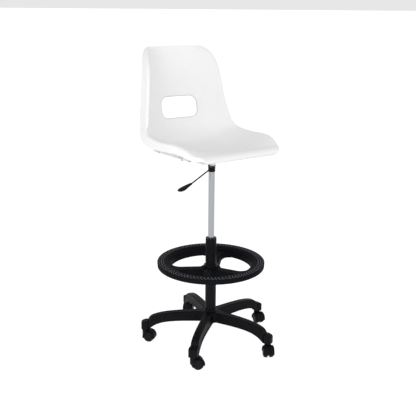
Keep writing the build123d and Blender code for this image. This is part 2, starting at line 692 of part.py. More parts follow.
bush_bore = CYLINDER_RADIUS + RUNNING_GAP
bush_outer = TUBE_INNER - SEAT_GAP
with BuildPart() as guide_bush:
    add(
        turned(
            [
                (bush_bore, TUBE_TOP - BUSH_LENGTH),
                (bush_outer, TUBE_TOP - BUSH_LENGTH),
                (bush_outer, TUBE_TOP),
                (TUBE_RADIUS, TUBE_TOP),
                (TUBE_RADIUS, BUSH_TOP - BUSH_CHAMFER),
                (TUBE_RADIUS - BUSH_CHAMFER, BUSH_TOP),
                (bush_bore, BUSH_TOP),
            ]
        )
    )
save(guide_bush.part, "guide_bush")

rod_shoulder = BEARING_TOP + THRUST_GAP
clip_top = tube_floor_bottom - THRUST_GAP
clip_bottom = clip_top - CLIP_THICKNESS
tip_radius = ROD_TIP_DIAMETER / 2
groove_radius = GROOVE_DIAMETER / 2
with BuildPart() as piston_rod:
    add(
        turned(
            [
                (0, clip_bottom - ROD_TIP_OVERHANG),
                (tip_radius, clip_bottom - ROD_TIP_OVERHANG),
                (tip_radius, clip_bottom - THRUST_GAP),
                (groove_radius, clip_bottom - THRUST_GAP),
                (groove_radius, clip_top + THRUST_GAP),
                (tip_radius, clip_top + THRUST_GAP),
                (tip_radius, rod_shoulder),
                (ROD_DIAMETER / 2, rod_shoulder),
                (ROD_DIAMETER / 2, PISTON_TOP - PISTON_LENGTH),
                (cylinder_cavity - RUNNING_GAP, PISTON_TOP - PISTON_LENGTH),
                (cylinder_cavity - RUNNING_GAP, PISTON_TOP),
                (0, PISTON_TOP),
            ]
        )
    )
save(piston_rod.part, "piston_rod")

with BuildPart() as retaining_clip:
    with BuildSketch(Plane.XY.offset(clip_bottom)):
        Circle(CLIP_DIAMETER / 2)
        Circle(groove_radius + SEAT_GAP, mode=Mode.SUBTRACT)
    extrude(amount=CLIP_THICKNESS)
save(retaining_clip.part, "retaining_clip")

with BuildPart() as thrust_bearing:
    for washer_bottom in (TUBE_FLOOR_TOP, BEARING_TOP - BEARING_WASHER):
        with BuildSketch(Plane.XY.offset(washer_bottom)):
            Circle(BEARING_DIAMETER / 2)
            Circle(tip_bore, mode=Mode.SUBTRACT)
        extrude(amount=BEARING_WASHER)
    ball_height = TUBE_FLOOR_TOP + BEARING_WASHER + BEARING_BALL / 2
    with Locations((0, 0, ball_height)):
        with PolarLocations(BEARING_BALL_CIRCLE / 2, BEARING_BALL_COUNT):
            Sphere(BEARING_BALL / 2)
save(thrust_bearing.part, "thrust_bearing")

with BuildPart() as rubber_buffer:
    with BuildSketch(Plane.XY.offset(rod_shoulder)):
        Circle(BUFFER_DIAMETER / 2)
        Circle(ROD_DIAMETER / 2 + SEAT_GAP, mode=Mode.SUBTRACT)
    extrude(amount=BUFFER_LENGTH)
save(rubber_buffer.part, "rubber_buffer")


# ==== foot ring ==================================================================================
spoke_top_hub = RING_HUB_TOP - SPOKE_TOP_DROP
spoke_top_rim = RING_TOP - RING_SLOPE_DROP
spoke_bottom_hub = RING_HUB_BOTTOM + SPOKE_BOTTOM_LIFT
spoke_bottom_rim = RING_TOP - RING_INNER_HEIGHT + SPOKE_BOTTOM_LIFT
spoke_root = RING_HUB_RADIUS - RING_WALL
rim_inner_face = RING_INNER + RING_WALL


def spoke_band(sink, lower):
    """Ring-shaped band that holds the spokes: it climbs from the hub to the rim."""
    return turned(
        [
            (spoke_root, spoke_top_hub - sink),
            (rim_inner_face, spoke_top_rim - sink),
            (rim_inner_face, spoke_bottom_rim - lower),
            (spoke_root, spoke_bottom_hub - lower),
        ]
    )


def spoke_web(inset, bottom, top):
    """Three spokes in plan, with fillets where they run into the rim and into the hub."""
    with BuildPart() as web:
        with BuildSketch(Plane.XY.offset(bottom)) as outline:
            Circle(rim_inner_face)
            Circle(RING_INNER, mode=Mode.SUBTRACT)
            with PolarLocations(0, SPOKE_COUNT, FIRST_SPOKE_ANGLE):
                with Locations((rim_inner_face / 2, 0)):
                    Rectangle(rim_inner_face, SPOKE_WIDTH)
            Circle(HUB_FLARE_RADIUS)
            for radius, bend in ((RING_INNER, SPOKE_FILLET), (HUB_FLARE_RADIUS, HUB_FLARE_FILLET)):
                corners = outline.vertices().filter_by(
                    lambda spot: abs(math.hypot(spot.X, spot.Y) - radius) < SAME_SPOT
                )
                fillet(corners, bend)
            if inset > 0:
                offset(amount=-inset)
        extrude(amount=top - bottom)
    return web.part


web_bottom = RING_HUB_BOTTOM - HOLLOW_SINK
with BuildPart() as foot_ring:
    add(spoke_web(0, web_bottom, RING_TOP))
    add(spoke_band(0, 0), mode=Mode.INTERSECT)
    with BuildPart(mode=Mode.PRIVATE) as spoke_hollow:
        add(spoke_web(RING_WALL, web_bottom, RING_TOP))
        add(spoke_band(SPOKE_CROWN, HOLLOW_SINK), mode=Mode.INTERSECT)
    add(spoke_hollow.part, mode=Mode.SUBTRACT)
    add(
        turned(
            [
                (RING_RADIUS, RING_TOP - RING_EDGE_RADIUS),
                (RING_RADIUS - RING_EDGE_RADIUS, RING_TOP),
                (RING_TREAD_INNER, RING_TOP),
                (RING_INNER, spoke_top_rim),
                (RING_INNER, RING_TOP - RING_INNER_HEIGHT),
                (rim_inner_face, RING_TOP - RING_INNER_HEIGHT),
                (rim_inner_face, spoke_top_rim - RING_WALL),
                (RING_TREAD_INNER, RING_TOP - RING_WALL),
                (RING_RADIUS - RING_WALL, RING_TOP - RING_WALL),
                (RING_RADIUS - RING_WALL, RING_TOP - RING_OUTER_HEIGHT),
                (RING_RADIUS, RING_TOP - RING_OUTER_HEIGHT),
            ]
        )
    )
    add(
        turned(
            [
                (HUB_BORE, RING_HUB_BOTTOM),
                (RING_HUB_RADIUS - HUB_EDGE, RING_HUB_BOTTOM),
                (RING_HUB_RADIUS, RING_HUB_BOTTOM + HUB_EDGE),
                (RING_HUB_RADIUS, RING_HUB_TOP - HUB_EDGE),
                (RING_HUB_RADIUS - HUB_EDGE, RING_HUB_TOP),
                (HUB_BORE, RING_HUB_TOP),
            ]
        )
    )
    clamp_height = RING_HUB_TOP - CLAMP_DROP
    with BuildSketch(facing_plane(CLAMP_ANGLE, TUBE_RADIUS, clamp_height)):
        Circle(CLAMP_BOSS_DIAMETER / 2)
    extrude(amount=CLAMP_BOSS_REACH - TUBE_RADIUS)
    with BuildSketch(Plane.XY.offset(RING_HUB_BOTTOM)):
        Circle(HUB_BORE)
    extrude(amount=RING_HUB_HEIGHT, mode=Mode.SUBTRACT)
    with BuildSketch(facing_plane(CLAMP_ANGLE, TUBE_RADIUS, clamp_height)):
        Circle(CLAMP_STUD_DIAMETER / 2 + RUNNING_GAP)
    extrude(amount=CLAMP_BOSS_REACH, mode=Mode.SUBTRACT)
save(foot_ring.part, "foot_ring")

with BuildPart() as ring_liner:
    add(
        turned(
            [
                (LINER_BORE, RING_HUB_BOTTOM),
                (LINER_OUTER, RING_HUB_BOTTOM),
                (LINER_OUTER, RING_HUB_TOP + THRUST_GAP),
                (LINER_OUTER + LINER_LIP, RING_HUB_TOP + THRUST_GAP),
                (LINER_OUTER + LINER_LIP, RING_HUB_TOP + LINER_LIP / 2),
                (LINER_OUTER, RING_HUB_TOP + LINER_LIP),
                (LINER_BORE, RING_HUB_TOP + LINER_LIP),
            ]
        )
    )
save(ring_liner.part, "ring_liner")

with BuildPart() as clamp_stud:
    stud_start = LINER_OUTER + FACE_GAP
    stud_end = CLAMP_KNOB_START + CLAMP_KNOB_LENGTH / 2
    with BuildSketch(facing_plane(CLAMP_ANGLE, stud_start, clamp_height)):
        Circle(CLAMP_STUD_DIAMETER / 2)
    extrude(amount=stud_end - stud_start)
save(clamp_stud.part, "clamp_stud")

with BuildPart() as clamp_knob:
    knob_plane = facing_plane(CLAMP_ANGLE, CLAMP_KNOB_START, clamp_height)
    knob_radius = CLAMP_KNOB_DIAMETER / 2
    with BuildSketch(knob_plane):
        Circle(knob_radius)
        with PolarLocations(knob_radius + KNOB_SCALLOP_RADIUS - KNOB_SCALLOP_DEPTH, KNOB_LOBES):
            Circle(KNOB_SCALLOP_RADIUS, mode=Mode.SUBTRACT)
    extrude(amount=CLAMP_KNOB_LENGTH)
    with BuildSketch(knob_plane):
        Circle(KNOB_NECK_DIAMETER / 2)
    extrude(amount=CLAMP_BOSS_REACH - CLAMP_KNOB_START + FACE_GAP)
    with BuildSketch(knob_plane.offset(CLAMP_BOSS_REACH - CLAMP_KNOB_START)):
        Circle(CLAMP_STUD_DIAMETER / 2 + SEAT_GAP)
    extrude(amount=stud_end - CLAMP_BOSS_REACH, mode=Mode.SUBTRACT)
save(clamp_knob.part, "clamp_knob")


# ==== star base ==================================================================================
def arm_body(shrink, sink, stations):
    """One arm along local +X: a loft through tapered cross sections with a chamfered crown."""
    with BuildPart() as arm:
        for reach, bottom, top, foot, crown in stations:
            half_foot = foot / 2 - shrink
            half_crown = crown / 2 - shrink
            crown_top = top - shrink
            with BuildSketch(Plane(origin=(reach, 0, 0), x_dir=(0, 1, 0), z_dir=(1, 0, 0))):
                with BuildLine():
                    Polyline(
                        (-half_foot, bottom - sink),
                        (half_foot, bottom - sink),
                        (half_crown, crown_top - ARM_SHOULDER),
                        (half_crown - ARM_CROWN_CHAMFER, crown_top),
                        (ARM_CROWN_CHAMFER - half_crown, crown_top),
                        (-half_crown, crown_top - ARM_SHOULDER),
                        close=True,
                    )
                make_face()
        loft()
    return arm.part


def arm_section(reach):
    """Reach, underside, top, foot width and crown width of an arm at a distance from the axis."""
    share = (reach - ARM_ROOT) / (STEM_CIRCLE_RADIUS - ARM_END_SETBACK - ARM_ROOT)
    top = HUB_TOP - ARM_TOP_SAG * share**2 - ARM_TOP_FALL * share**7
    drop = ARM_UNDERSIDE_SAG * share**4 + ARM_UNDERSIDE_FALL * share**9
    bottom = HUB_BOTTOM + ARM_ROOT_LIFT + ARM_ARCH_RISE * share - drop
    foot = ARM_FOOT_WIDTH - ARM_FOOT_TAPER * share
    crown = ARM_CROWN_WIDTH - ARM_CROWN_TAPER * share
    return (reach, bottom, top, foot, crown)


arm_length = STEM_CIRCLE_RADIUS - ARM_END_SETBACK - ARM_ROOT
arm_stations = [
    arm_section(ARM_ROOT + arm_length * step / (ARM_STATION_COUNT - 1))
    for step in range(ARM_STATION_COUNT)
]
first_hollow = arm_section(HUB_RADIUS_TOP + ARM_WALL)
outer_arm = arm_body(0, 0, arm_stations)
inner_arm = arm_body(ARM_WALL, HOLLOW_SINK, [first_hollow, *arm_stations[2:HOLLOW_STATION_COUNT]])
ferrule_bore = TUBE_RADIUS + SEAT_GAP
with BuildPart() as end_boss:
    with BuildSketch(Plane.XY.offset(CASTOR_HEIGHT)):
        RectangleRounded(BOSS_LENGTH, BOSS_WIDTH, BOSS_CORNER)
    extrude(amount=BOSS_HEIGHT)
    fillet(end_boss.edges().group_by(Axis.Z)[-1], BOSS_EDGE_RADIUS)
with BuildPart() as hollow_arm:
    add(outer_arm)
    add(inner_arm, mode=Mode.SUBTRACT)
with BuildPart() as star_base:
    add(
        turned(
            [
                (0, HUB_BOTTOM),
                (HUB_RADIUS_BOTTOM, HUB_BOTTOM),
                (HUB_RADIUS_TOP, HUB_TOP),
                (0, HUB_TOP),
            ]
        )
    )
    with PolarLocations(0, ARM_COUNT, FIRST_ARM_ANGLE):
        add(hollow_arm.part)
    with PolarLocations(STEM_CIRCLE_RADIUS, ARM_COUNT, FIRST_ARM_ANGLE):
        add(end_boss.part)
    with BuildSketch(Plane.XY.offset(CASTOR_HEIGHT)):
        with PolarLocations(STEM_CIRCLE_RADIUS, ARM_COUNT, FIRST_ARM_ANGLE):
            Circle(STEM_DIAMETER / 2 + SEAT_GAP)
    extrude(amount=STEM_SOCKET_DEPTH, mode=Mode.SUBTRACT)
    add(
        turned(
            [
                (0, TUBE_BOTTOM),
                (tube_radius_at(TUBE_BOTTOM) + SEAT_GAP, TUBE_BOTTOM),
                (TUBE_RADIUS + SEAT_GAP, HUB_TOP),
                (ferrule_bore + FERRULE_WALL + SEAT_GAP, HUB_TOP),
                (ferrule_bore + FERRULE_WALL + SEAT_GAP, HUB_TOP + FERRULE_HEIGHT),
                (0, HUB_TOP + FERRULE_HEIGHT),
            ]
        ),
        mode=Mode.SUBTRACT,
    )
save(star_base.part, "star_base")

with BuildPart() as hub_ferrule:
    ferrule_bottom = HUB_TOP + SEAT_GAP
    add(
        turned(
            [
                (ferrule_bore, ferrule_bottom),
                (ferrule_bore + FERRULE_WALL, ferrule_bottom),
                (ferrule_bore + FERRULE_WALL, ferrule_bottom + FERRULE_EDGE),
                (ferrule_bore + FERRULE_EDGE, ferrule_bottom + FERRULE_HEIGHT),
                (ferrule_bore, ferrule_bottom + FERRULE_HEIGHT),
            ]
        )
    )
save(hub_ferrule.part, "hub_ferrule")


# ==== castors ====================================================================================
# Each castor is drawn once with its stem on the Z axis and its axle trailing along +X.
wheel_inner_y = CASTOR_WEB / 2 + FACE_GAP
wheel_outer_y = wheel_inner_y + WHEEL_WIDTH
shoulder_y = wheel_outer_y - WHEEL_EDGE_RADIUS
shoulder_radius = WHEEL_RADIUS - WHEEL_EDGE_RADIUS
hood_inner = WHEEL_RADIUS + HOOD_GAP
hood_outer = hood_inner + HOOD_WALL
hood_top = CASTOR_HEIGHT - STEM_COLLAR_HEIGHT - THRUST_GAP
stem_foot = hood_top - STEM_FOOT_LENGTH
axle_spot = (CASTOR_TRAIL, 0, WHEEL_RADIUS)


def shoulder_spot(reach, angle, side):
    """Point (distance from the axle, place along it) on an arc round a wheel's outer edge."""
    turn = math.radians(angle)
    return (shoulder_radius + reach * math.cos(turn), side * (shoulder_y + reach * math.sin(turn)))


def hood_band():
    """Band over both wheels: a strip with rounded shoulders, turned about the axle."""
    outer = hood_outer - shoulder_radius
    inner = hood_inner - shoulder_radius
    half = HOOD_LIP_ANGLE / 2
    start = math.radians(HOOD_START_ANGLE)
    section = Plane(
        origin=axle_spot,
        x_dir=(math.cos(start), 0, math.sin(start)),
        z_dir=(-math.sin(start), 0, math.cos(start)),
    )
    with BuildPart() as band:
        with BuildSketch(section):
            with BuildLine():
                Line(shoulder_spot(outer, 0, -1), shoulder_spot(outer, 0, 1))
                Line(shoulder_spot(inner, 0, -1), shoulder_spot(inner, 0, 1))
                for side in (-1, 1):
                    for reach in (outer, inner):
                        ThreePointArc(*[shoulder_spot(reach, half * k, side) for k in range(3)])
                    Line(
                        shoulder_spot(outer, HOOD_LIP_ANGLE, side),
                        shoulder_spot(inner, HOOD_LIP_ANGLE, side),
                    )
            make_face()
        revolve(axis=Axis(axle_spot, (0, -1, 0)), revolution_arc=HOOD_END_ANGLE - HOOD_START_ANGLE)
    return band.part


def hood_sector(radius, half_depth):
    """Pie slice about the axle, from the trailing side over the top to the stem side."""
    spots = []
    for angle in (HOOD_START_ANGLE, (HOOD_START_ANGLE + HOOD_END_ANGLE) / 2, HOOD_END_ANGLE):
        turn = math.radians(angle)
        spots.append((CASTOR_TRAIL + radius * math.cos(turn), WHEEL_RADIUS + radius * math.sin(turn)))
    with BuildPart() as sector:
        with BuildSketch(Plane.XZ.offset(-half_depth)):
            with BuildLine():
                Line((CASTOR_TRAIL, WHEEL_RADIUS), spots[0])
                ThreePointArc(*spots)
                Line(spots[2], (CASTOR_TRAIL, WHEEL_RADIUS))
            make_face()
        extrude(amount=2 * half_depth)
    return sector.part


def axle_cylinder(radius, half_depth):
    """Cylinder round the axle line, the same distance to both sides."""
    with BuildPart() as cylinder:
        with BuildSketch(Plane.XZ.offset(-half_depth)):
            with Locations((CASTOR_TRAIL, WHEEL_RADIUS)):
                Circle(radius)
        extrude(amount=2 * half_depth)
    return cylinder.part


with BuildPart() as castor_hood:
    with BuildSketch(Plane.XY.offset(WHEEL_RADIUS - HOOD_BOSS_DROP)):
        Circle(HOOD_BOSS_DIAMETER / 2)
    extrude(amount=hood_top - WHEEL_RADIUS + HOOD_BOSS_DROP)
    add(axle_cylinder(hood_inner, HOOD_BOSS_DIAMETER), mode=Mode.SUBTRACT)
    add(hood_band())
    add(hood_sector(hood_inner + HOOD_WALL / 2, CASTOR_WEB / 2))
    add(axle_cylinder(AXLE_DIAMETER, CASTOR_WEB / 2))
    add(axle_cylinder(AXLE_DIAMETER / 2 + SEAT_GAP, CASTOR_WEB), mode=Mode.SUBTRACT)
    with BuildSketch(Plane.XY.offset(stem_foot)):
        Circle(STEM_DIAMETER / 2 + RUNNING_GAP)
    extrude(amount=STEM_FOOT_LENGTH, mode=Mode.SUBTRACT)

with BuildPart() as castor_stem:
    with BuildSketch(Plane.XY.offset(stem_foot + FACE_GAP)):
        Circle(STEM_DIAMETER / 2)
    extrude(amount=CASTOR_HEIGHT + STEM_GRIP_LENGTH - stem_foot - FACE_GAP)
    chamfer(castor_stem.edges().group_by(Axis.Z)[-1], SMALL_EDGE)
    with BuildSketch(Plane.XY.offset(CASTOR_HEIGHT - STEM_COLLAR_HEIGHT)):
        Circle(STEM_COLLAR_DIAMETER / 2)
    extrude(amount=STEM_COLLAR_HEIGHT)

axle_half = wheel_outer_y - WHEEL_CAP_THICKNESS - FACE_GAP
castor_axle = axle_cylinder(AXLE_DIAMETER / 2, axle_half)


def castor_wheel(side):
    """Nylon wheel on one side of the web, closed by its own outer face."""
    with BuildPart() as wheel:
        with BuildSketch(Plane.XZ.offset(-side * wheel_inner_y)):
            with Locations((CASTOR_TRAIL, WHEEL_RADIUS)):
                Circle(WHEEL_RADIUS)
        extrude(amount=-side * WHEEL_WIDTH)
        outer_face = wheel.faces().sort_by(Axis.Y)[-1 if side > 0 else 0]
        fillet(outer_face.edges(), WHEEL_EDGE_RADIUS)
        with BuildSketch(Plane.XZ.offset(-side * wheel_outer_y)):
            with Locations((CASTOR_TRAIL, WHEEL_RADIUS)):
                Circle(WHEEL_RING_DIAMETER / 2)
                Circle(WHEEL_RING_DIAMETER / 2 - WHEEL_RING_WIDTH, mode=Mode.SUBTRACT)
        extrude(amount=side * WHEEL_RING_DEPTH, mode=Mode.SUBTRACT)
        with BuildSketch(Plane.XZ.offset(-side * wheel_inner_y)):
            with Locations((CASTOR_TRAIL, WHEEL_RADIUS)):
                Circle(AXLE_DIAMETER / 2 + RUNNING_GAP)
        extrude(amount=-side * (WHEEL_WIDTH - WHEEL_CAP_THICKNESS), mode=Mode.SUBTRACT)
    return wheel.part


castor_pieces = (
    ("hood", castor_hood.part),
    ("axle", castor_axle),
    ("wheel_left", castor_wheel(-1)),
    ("wheel_right", castor_wheel(1)),
    ("stem", castor_stem.part),
)
for number, trail_angle in enumerate(TRAIL_ANGLES):
    arm_angle = math.radians(FIRST_ARM_ANGLE + number * 360.0 / ARM_COUNT)
    spot = (STEM_CIRCLE_RADIUS * math.cos(arm_angle), STEM_CIRCLE_RADIUS * math.sin(arm_angle), 0)
    for name, shape in castor_pieces:
        with BuildPart() as placed:
            with Locations(Location(spot, (0, 0, trail_angle))):
                add(shape)
        save(placed.part, f"castor_{number + 1}_{name}")
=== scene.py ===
import json
import math

import bmesh
import bpy
import numpy as np
from mathutils import Matrix, Vector


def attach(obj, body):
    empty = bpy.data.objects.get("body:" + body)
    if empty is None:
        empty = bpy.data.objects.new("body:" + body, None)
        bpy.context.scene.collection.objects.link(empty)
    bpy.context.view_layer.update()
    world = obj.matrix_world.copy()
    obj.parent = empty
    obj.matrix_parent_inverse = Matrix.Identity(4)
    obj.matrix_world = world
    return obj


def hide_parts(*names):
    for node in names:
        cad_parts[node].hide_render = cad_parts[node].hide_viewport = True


# Drafting chair: white moulded shell, chrome gas lift, charcoal foot ring and star base.
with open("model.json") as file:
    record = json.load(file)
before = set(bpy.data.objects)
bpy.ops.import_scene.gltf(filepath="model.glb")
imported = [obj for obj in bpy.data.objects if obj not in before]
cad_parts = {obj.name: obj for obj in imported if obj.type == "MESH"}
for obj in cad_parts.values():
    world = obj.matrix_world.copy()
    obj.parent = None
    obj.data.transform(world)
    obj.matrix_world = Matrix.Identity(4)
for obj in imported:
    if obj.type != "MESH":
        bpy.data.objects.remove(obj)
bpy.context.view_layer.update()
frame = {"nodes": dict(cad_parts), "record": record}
nodes = frame["nodes"]
TAU = 2 * math.pi


# ==== meshes from arrays =========================================================================
def new_piece(name, points, faces, body, material, sharp=32.0):
    """Object from an (n, 3) array of points and a list of face corner rows, riding on a body."""
    mesh = bpy.data.meshes.new(name)
    mesh.from_pydata(points.tolist(), [], faces.tolist() if hasattr(faces, "tolist") else faces)
    mesh.validate()
    mesh.shade_smooth()
    mesh.set_sharp_from_angle(angle=math.radians(sharp))
    piece = bpy.data.objects.new(name, mesh)
    bpy.context.scene.collection.objects.link(piece)
    mesh.materials.append(material)
    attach(piece, body)
    return piece


def grid_faces(rows, columns, wrap_rows=False, wrap_columns=False):
    """Quads of a grid of points stored row by row; a wrapped side joins its last line to its first."""
    row = np.arange(rows if wrap_rows else rows - 1)
    column = np.arange(columns if wrap_columns else columns - 1)
    i, j = np.meshgrid(row, column, indexing="ij")
    up = (i + 1) % rows
    side = (j + 1) % columns
    quads = np.stack([i * columns + j, i * columns + side, up * columns + side, up * columns + j], -1)
    return quads.reshape(-1, 4)


def rounded_line(corners, radius, steps=5, closed=True):
    """Outline through corners, each replaced by an arc that leaves its two sides at the same distance.

    The arc is the quadratic curve between the two points at that distance, with the corner as its
    control point: start*(1-t)^2 + corner*2t(1-t) + end*t^2.
    """
    spots = np.array(corners, float)
    count = len(spots)
    radii = np.broadcast_to(np.array(radius, float), (count,))
    t = np.linspace(0, 1, steps)[:, None]
    line = []
    for k in range(count):
        if not closed and k in (0, count - 1):
            line.append(spots[k][None])
            continue
        corner = spots[k]
        before = spots[k - 1] - corner
        after = spots[(k + 1) % count] - corner
        reach = min(radii[k], 0.49 * np.linalg.norm(before), 0.49 * np.linalg.norm(after))
        if reach < 1e-6:
            line.append(corner[None])
            continue
        start = corner + before / np.linalg.norm(before) * reach
        end = corner + after / np.linalg.norm(after) * reach
        line.append(start * (1 - t) ** 2 + corner * 2 * t * (1 - t) + end * t**2)
    return np.concatenate(line)


def turned_points(profile, turns):
    """Grid of a (radius, height) profile turned about the column: x = r cos a, y = r sin a, z = height."""
    angle = np.linspace(0, TAU, turns, endpoint=False)[:, None]
    r = profile[None, :, 0]
    h = np.broadcast_to(profile[None, :, 1], (turns, len(profile)))
    return np.stack([r * np.cos(angle), r * np.sin(angle), h], -1)


def smooth_curve(knots, values, spots):
    """Natural cubic spline through values at knots, as in a drawing spline held at its ducks."""
    knots = np.array(knots, float)
    values = np.array(values, float)
    gap = np.diff(knots)
    count = len(knots)
    system = np.eye(count)
    right = np.zeros((count, values.shape[1]))
    inner = np.arange(1, count - 1)
    system[inner, inner - 1] = gap[:-1]
    system[inner, inner] = 2 * (gap[:-1] + gap[1:])
    system[inner, inner + 1] = gap[1:]
    slope = np.diff(values, axis=0) / gap[:, None]
    right[1:-1] = 6 * np.diff(slope, axis=0)
    bend = np.linalg.solve(system, right)
    k = np.clip(np.searchsorted(knots, spots) - 1, 0, count - 2)
    h = gap[k][:, None]
    a = ((knots[k + 1] - spots) / gap[k])[:, None]
    b = 1 - a
    return a * values[k] + b * values[k + 1] + ((a**3 - a) * bend[k] + (b**3 - b) * bend[k + 1]) * h**2 / 6


# ==== materials ==================================================================================
def finish(name, colour, roughness, metallic=0.0, grain=0.0, grain_size=0.0006, tint=0.0, tint_size=0.05,
           gloss_change=0.05, specular=0.5, stretch=1.0):
    """Procedural material: base colour varied by broad soft noise, fine grain as bump, uneven gloss.

    A stretch below 1 pulls the noise out upwards into streaks; on the chrome these are painted reflections.
    """
    material = bpy.data.materials.new(name)
    material.use_nodes = True
    tree = material.node_tree
    shader = tree.nodes["Principled BSDF"]
    shader.inputs["Metallic"].default_value = metallic
    shader.inputs["Specular IOR Level"].default_value = specular
    place = tree.nodes.new("ShaderNodeTexCoord")
    broad = tree.nodes.new("ShaderNodeTexNoise")
    broad.inputs["Scale"].default_value = 1 / tint_size
    broad.inputs["Detail"].default_value = 3.0
    streak_mapping = tree.nodes.new("ShaderNodeMapping")
    streak_mapping.inputs["Scale"].default_value = (1, 1, stretch)
    tree.links.new(place.outputs["Object"], streak_mapping.inputs["Vector"])
    tree.links.new(streak_mapping.outputs["Vector"], broad.inputs["Vector"])
    mix = tree.nodes.new("ShaderNodeMix")
    mix.data_type = "RGBA"
    tree.links.new(broad.outputs["Fac"], mix.inputs["Factor"])
    mix.inputs[6].default_value = (*[c * (1 - tint) for c in colour], 1)
    mix.inputs[7].default_value = (*[min(1.0, c * (1 + tint)) for c in colour], 1)
    tree.links.new(mix.outputs[2], shader.inputs["Base Color"])
    gloss = tree.nodes.new("ShaderNodeMapRange")
    gloss.inputs["To Min"].default_value = max(0.02, roughness - gloss_change)
    gloss.inputs["To Max"].default_value = roughness + gloss_change
    tree.links.new(broad.outputs["Fac"], gloss.inputs["Value"])
    tree.links.new(gloss.outputs["Result"], shader.inputs["Roughness"])
    if grain > 0:
        fine = tree.nodes.new("ShaderNodeTexNoise")
        fine.inputs["Scale"].default_value = 1 / grain_size
        fine.inputs["Detail"].default_value = 2.0
        tree.links.new(place.outputs["Object"], fine.inputs["Vector"])
        bump = tree.nodes.new("ShaderNodeBump")
        bump.inputs["Strength"].default_value = grain
        bump.inputs["Distance"].default_value = grain_size * 0.3
        tree.links.new(fine.outputs["Fac"], bump.inputs["Height"])
        tree.links.new(bump.outputs["Normal"], shader.inputs["Normal"])
    return material


shell_white = finish(
    "moulded_white_shell", (0.80, 0.80, 0.80), 0.46, grain=0.10, grain_size=0.0012, tint=0.010, tint_size=0.12,
    specular=0.30,
)
# darker white for the opening's bead: painted shade along the edge, the moulding itself is the shell's white
edge_painted_shade = finish(
    "rolled_edge_painted_shade", (0.60, 0.60, 0.60), 0.5, grain=0.10, grain_size=0.0012, tint=0.012,
    specular=0.25,
)
frame_grey = finish(
    "powder_coated_light_grey", (0.66, 0.67, 0.68), 0.42, grain=0.2, grain_size=0.0005, tint=0.02
)
cap_grey = finish("light_grey_plug", (0.50, 0.51, 0.52), 0.5, grain=0.2, tint=0.02)
ring_charcoal = finish(
    "charcoal_ring_plastic", (0.0050, 0.0052, 0.0072), 0.55, grain=0.15, tint=0.15, tint_size=0.03,
    specular=0.02,
)
base_charcoal = finish(
    "charcoal_base_plastic", (0.0042, 0.0043, 0.0058), 0.44, grain=0.25, tint=0.15, tint_size=0.03,
    specular=0.06,
)
# the studs are a lighter grey than the ring's charcoal, in random patches: painted highlights on the tread's
# studs
stud_painted_highlight = finish("grip_studs_painted_highlight", (0.110, 0.112, 0.125), 0.45, tint=0.45, tint_size=0.012, specular=0.4)
tube_charcoal = finish(
    "charcoal_powder_coat", (0.0046, 0.0046, 0.0066), 0.44, grain=0.3, grain_size=0.0004, tint=0.12,
    specular=0.08,
)
bush_black = finish("black_acetal", (0.004, 0.004, 0.005), 0.35, grain=0.1, tint=0.05, specular=0.2)
collar_black = finish("satin_black_moulding", (0.003, 0.003, 0.003), 0.36, grain=0.15, tint=0.05, specular=0.10)
rod_black = finish("black_lacquered_rod", (0.003, 0.003, 0.004), 0.34, tint=0.05, specular=0.12)
wheel_charcoal = finish(
    "charcoal_castor_nylon", (0.0050, 0.0052, 0.0068), 0.42, grain=0.2, grain_size=0.0005, tint=0.12,
    specular=0.09,
)
# tall thin streaks in the chrome's base colour: painted reflections of dark and bright studio bands
chrome = finish(
    "chrome_painted_streaks", (0.36, 0.37, 0.40), 0.16, metallic=1.0, tint=0.30, tint_size=0.006, gloss_change=0.03,
    stretch=0.01,
)
bright_steel = finish("turned_steel", (0.48, 0.48, 0.49), 0.28, metallic=1.0, tint=0.04, gloss_change=0.06)
dark_steel = finish("blackened_steel", (0.06, 0.06, 0.065), 0.4, metallic=1.0, tint=0.05)
soft_rubber = finish("black_buffer_rubber", (0.01, 0.01, 0.01), 0.75, grain=0.3, tint=0.08)

by_slot = {
    "shell_plastic": shell_white, "frame_paint": frame_grey, "cap_plastic": cap_grey,
    "dark_plastic": base_charcoal, "tube_paint": tube_charcoal, "chrome": chrome,
    "black_plastic": collar_black, "black_paint": rod_black, "steel": bright_steel,
    "bush_plastic": bush_black, "wheel_plastic": wheel_charcoal, "buffer_rubber": soft_rubber,
    "screw_steel": dark_steel,
}
for entry in frame["record"]["subparts"]:
    solid = nodes[entry["node"]]
    solid.data.materials.clear()
    solid.data.materials.append(by_slot[entry["material_slot"]])

# ==== moulded shell ==============================================================================
SHELL_LOW = 0.909
SHELL_WALL = 0.005
SHELL_RIM = 0.009
WING_POWER = 2.6
FLANGE_SPLAY = 0.12
# place along the chair, height above the seat's low point, half width, wing rise, flange depth (mm)
SHELL_STATIONS = (
    (-199, -14, 156, 0, 9), (-211, -11, 175, 0.5, 9), (-220, 0, 189, 1.5, 10), (-210, 13, 201, 3, 15),
    (-180, 15, 220, 9, 21), (-150, 12.5, 231, 25, 28), (-110, 10, 240, 39.5, 33), (0, 0, 248, 51, 36),
    (100, 0, 246, 55, 42),
    (178, 13, 240, 64, 48), (226, 48, 231, 75, 53), (250, 96, 222, 80, 53), (268, 154, 212, 82, 50),
    (284, 271, 196, 79, 45), (292, 340, 185.5, 68, 38), (297, 384, 174.5, 47, 27), (299.5, 406, 163, 28, 16),
    (300.6, 417, 151.5, 16, 11), (301, 422.5, 141, 11, 9), (301, 425, 131, 9, 9),
)


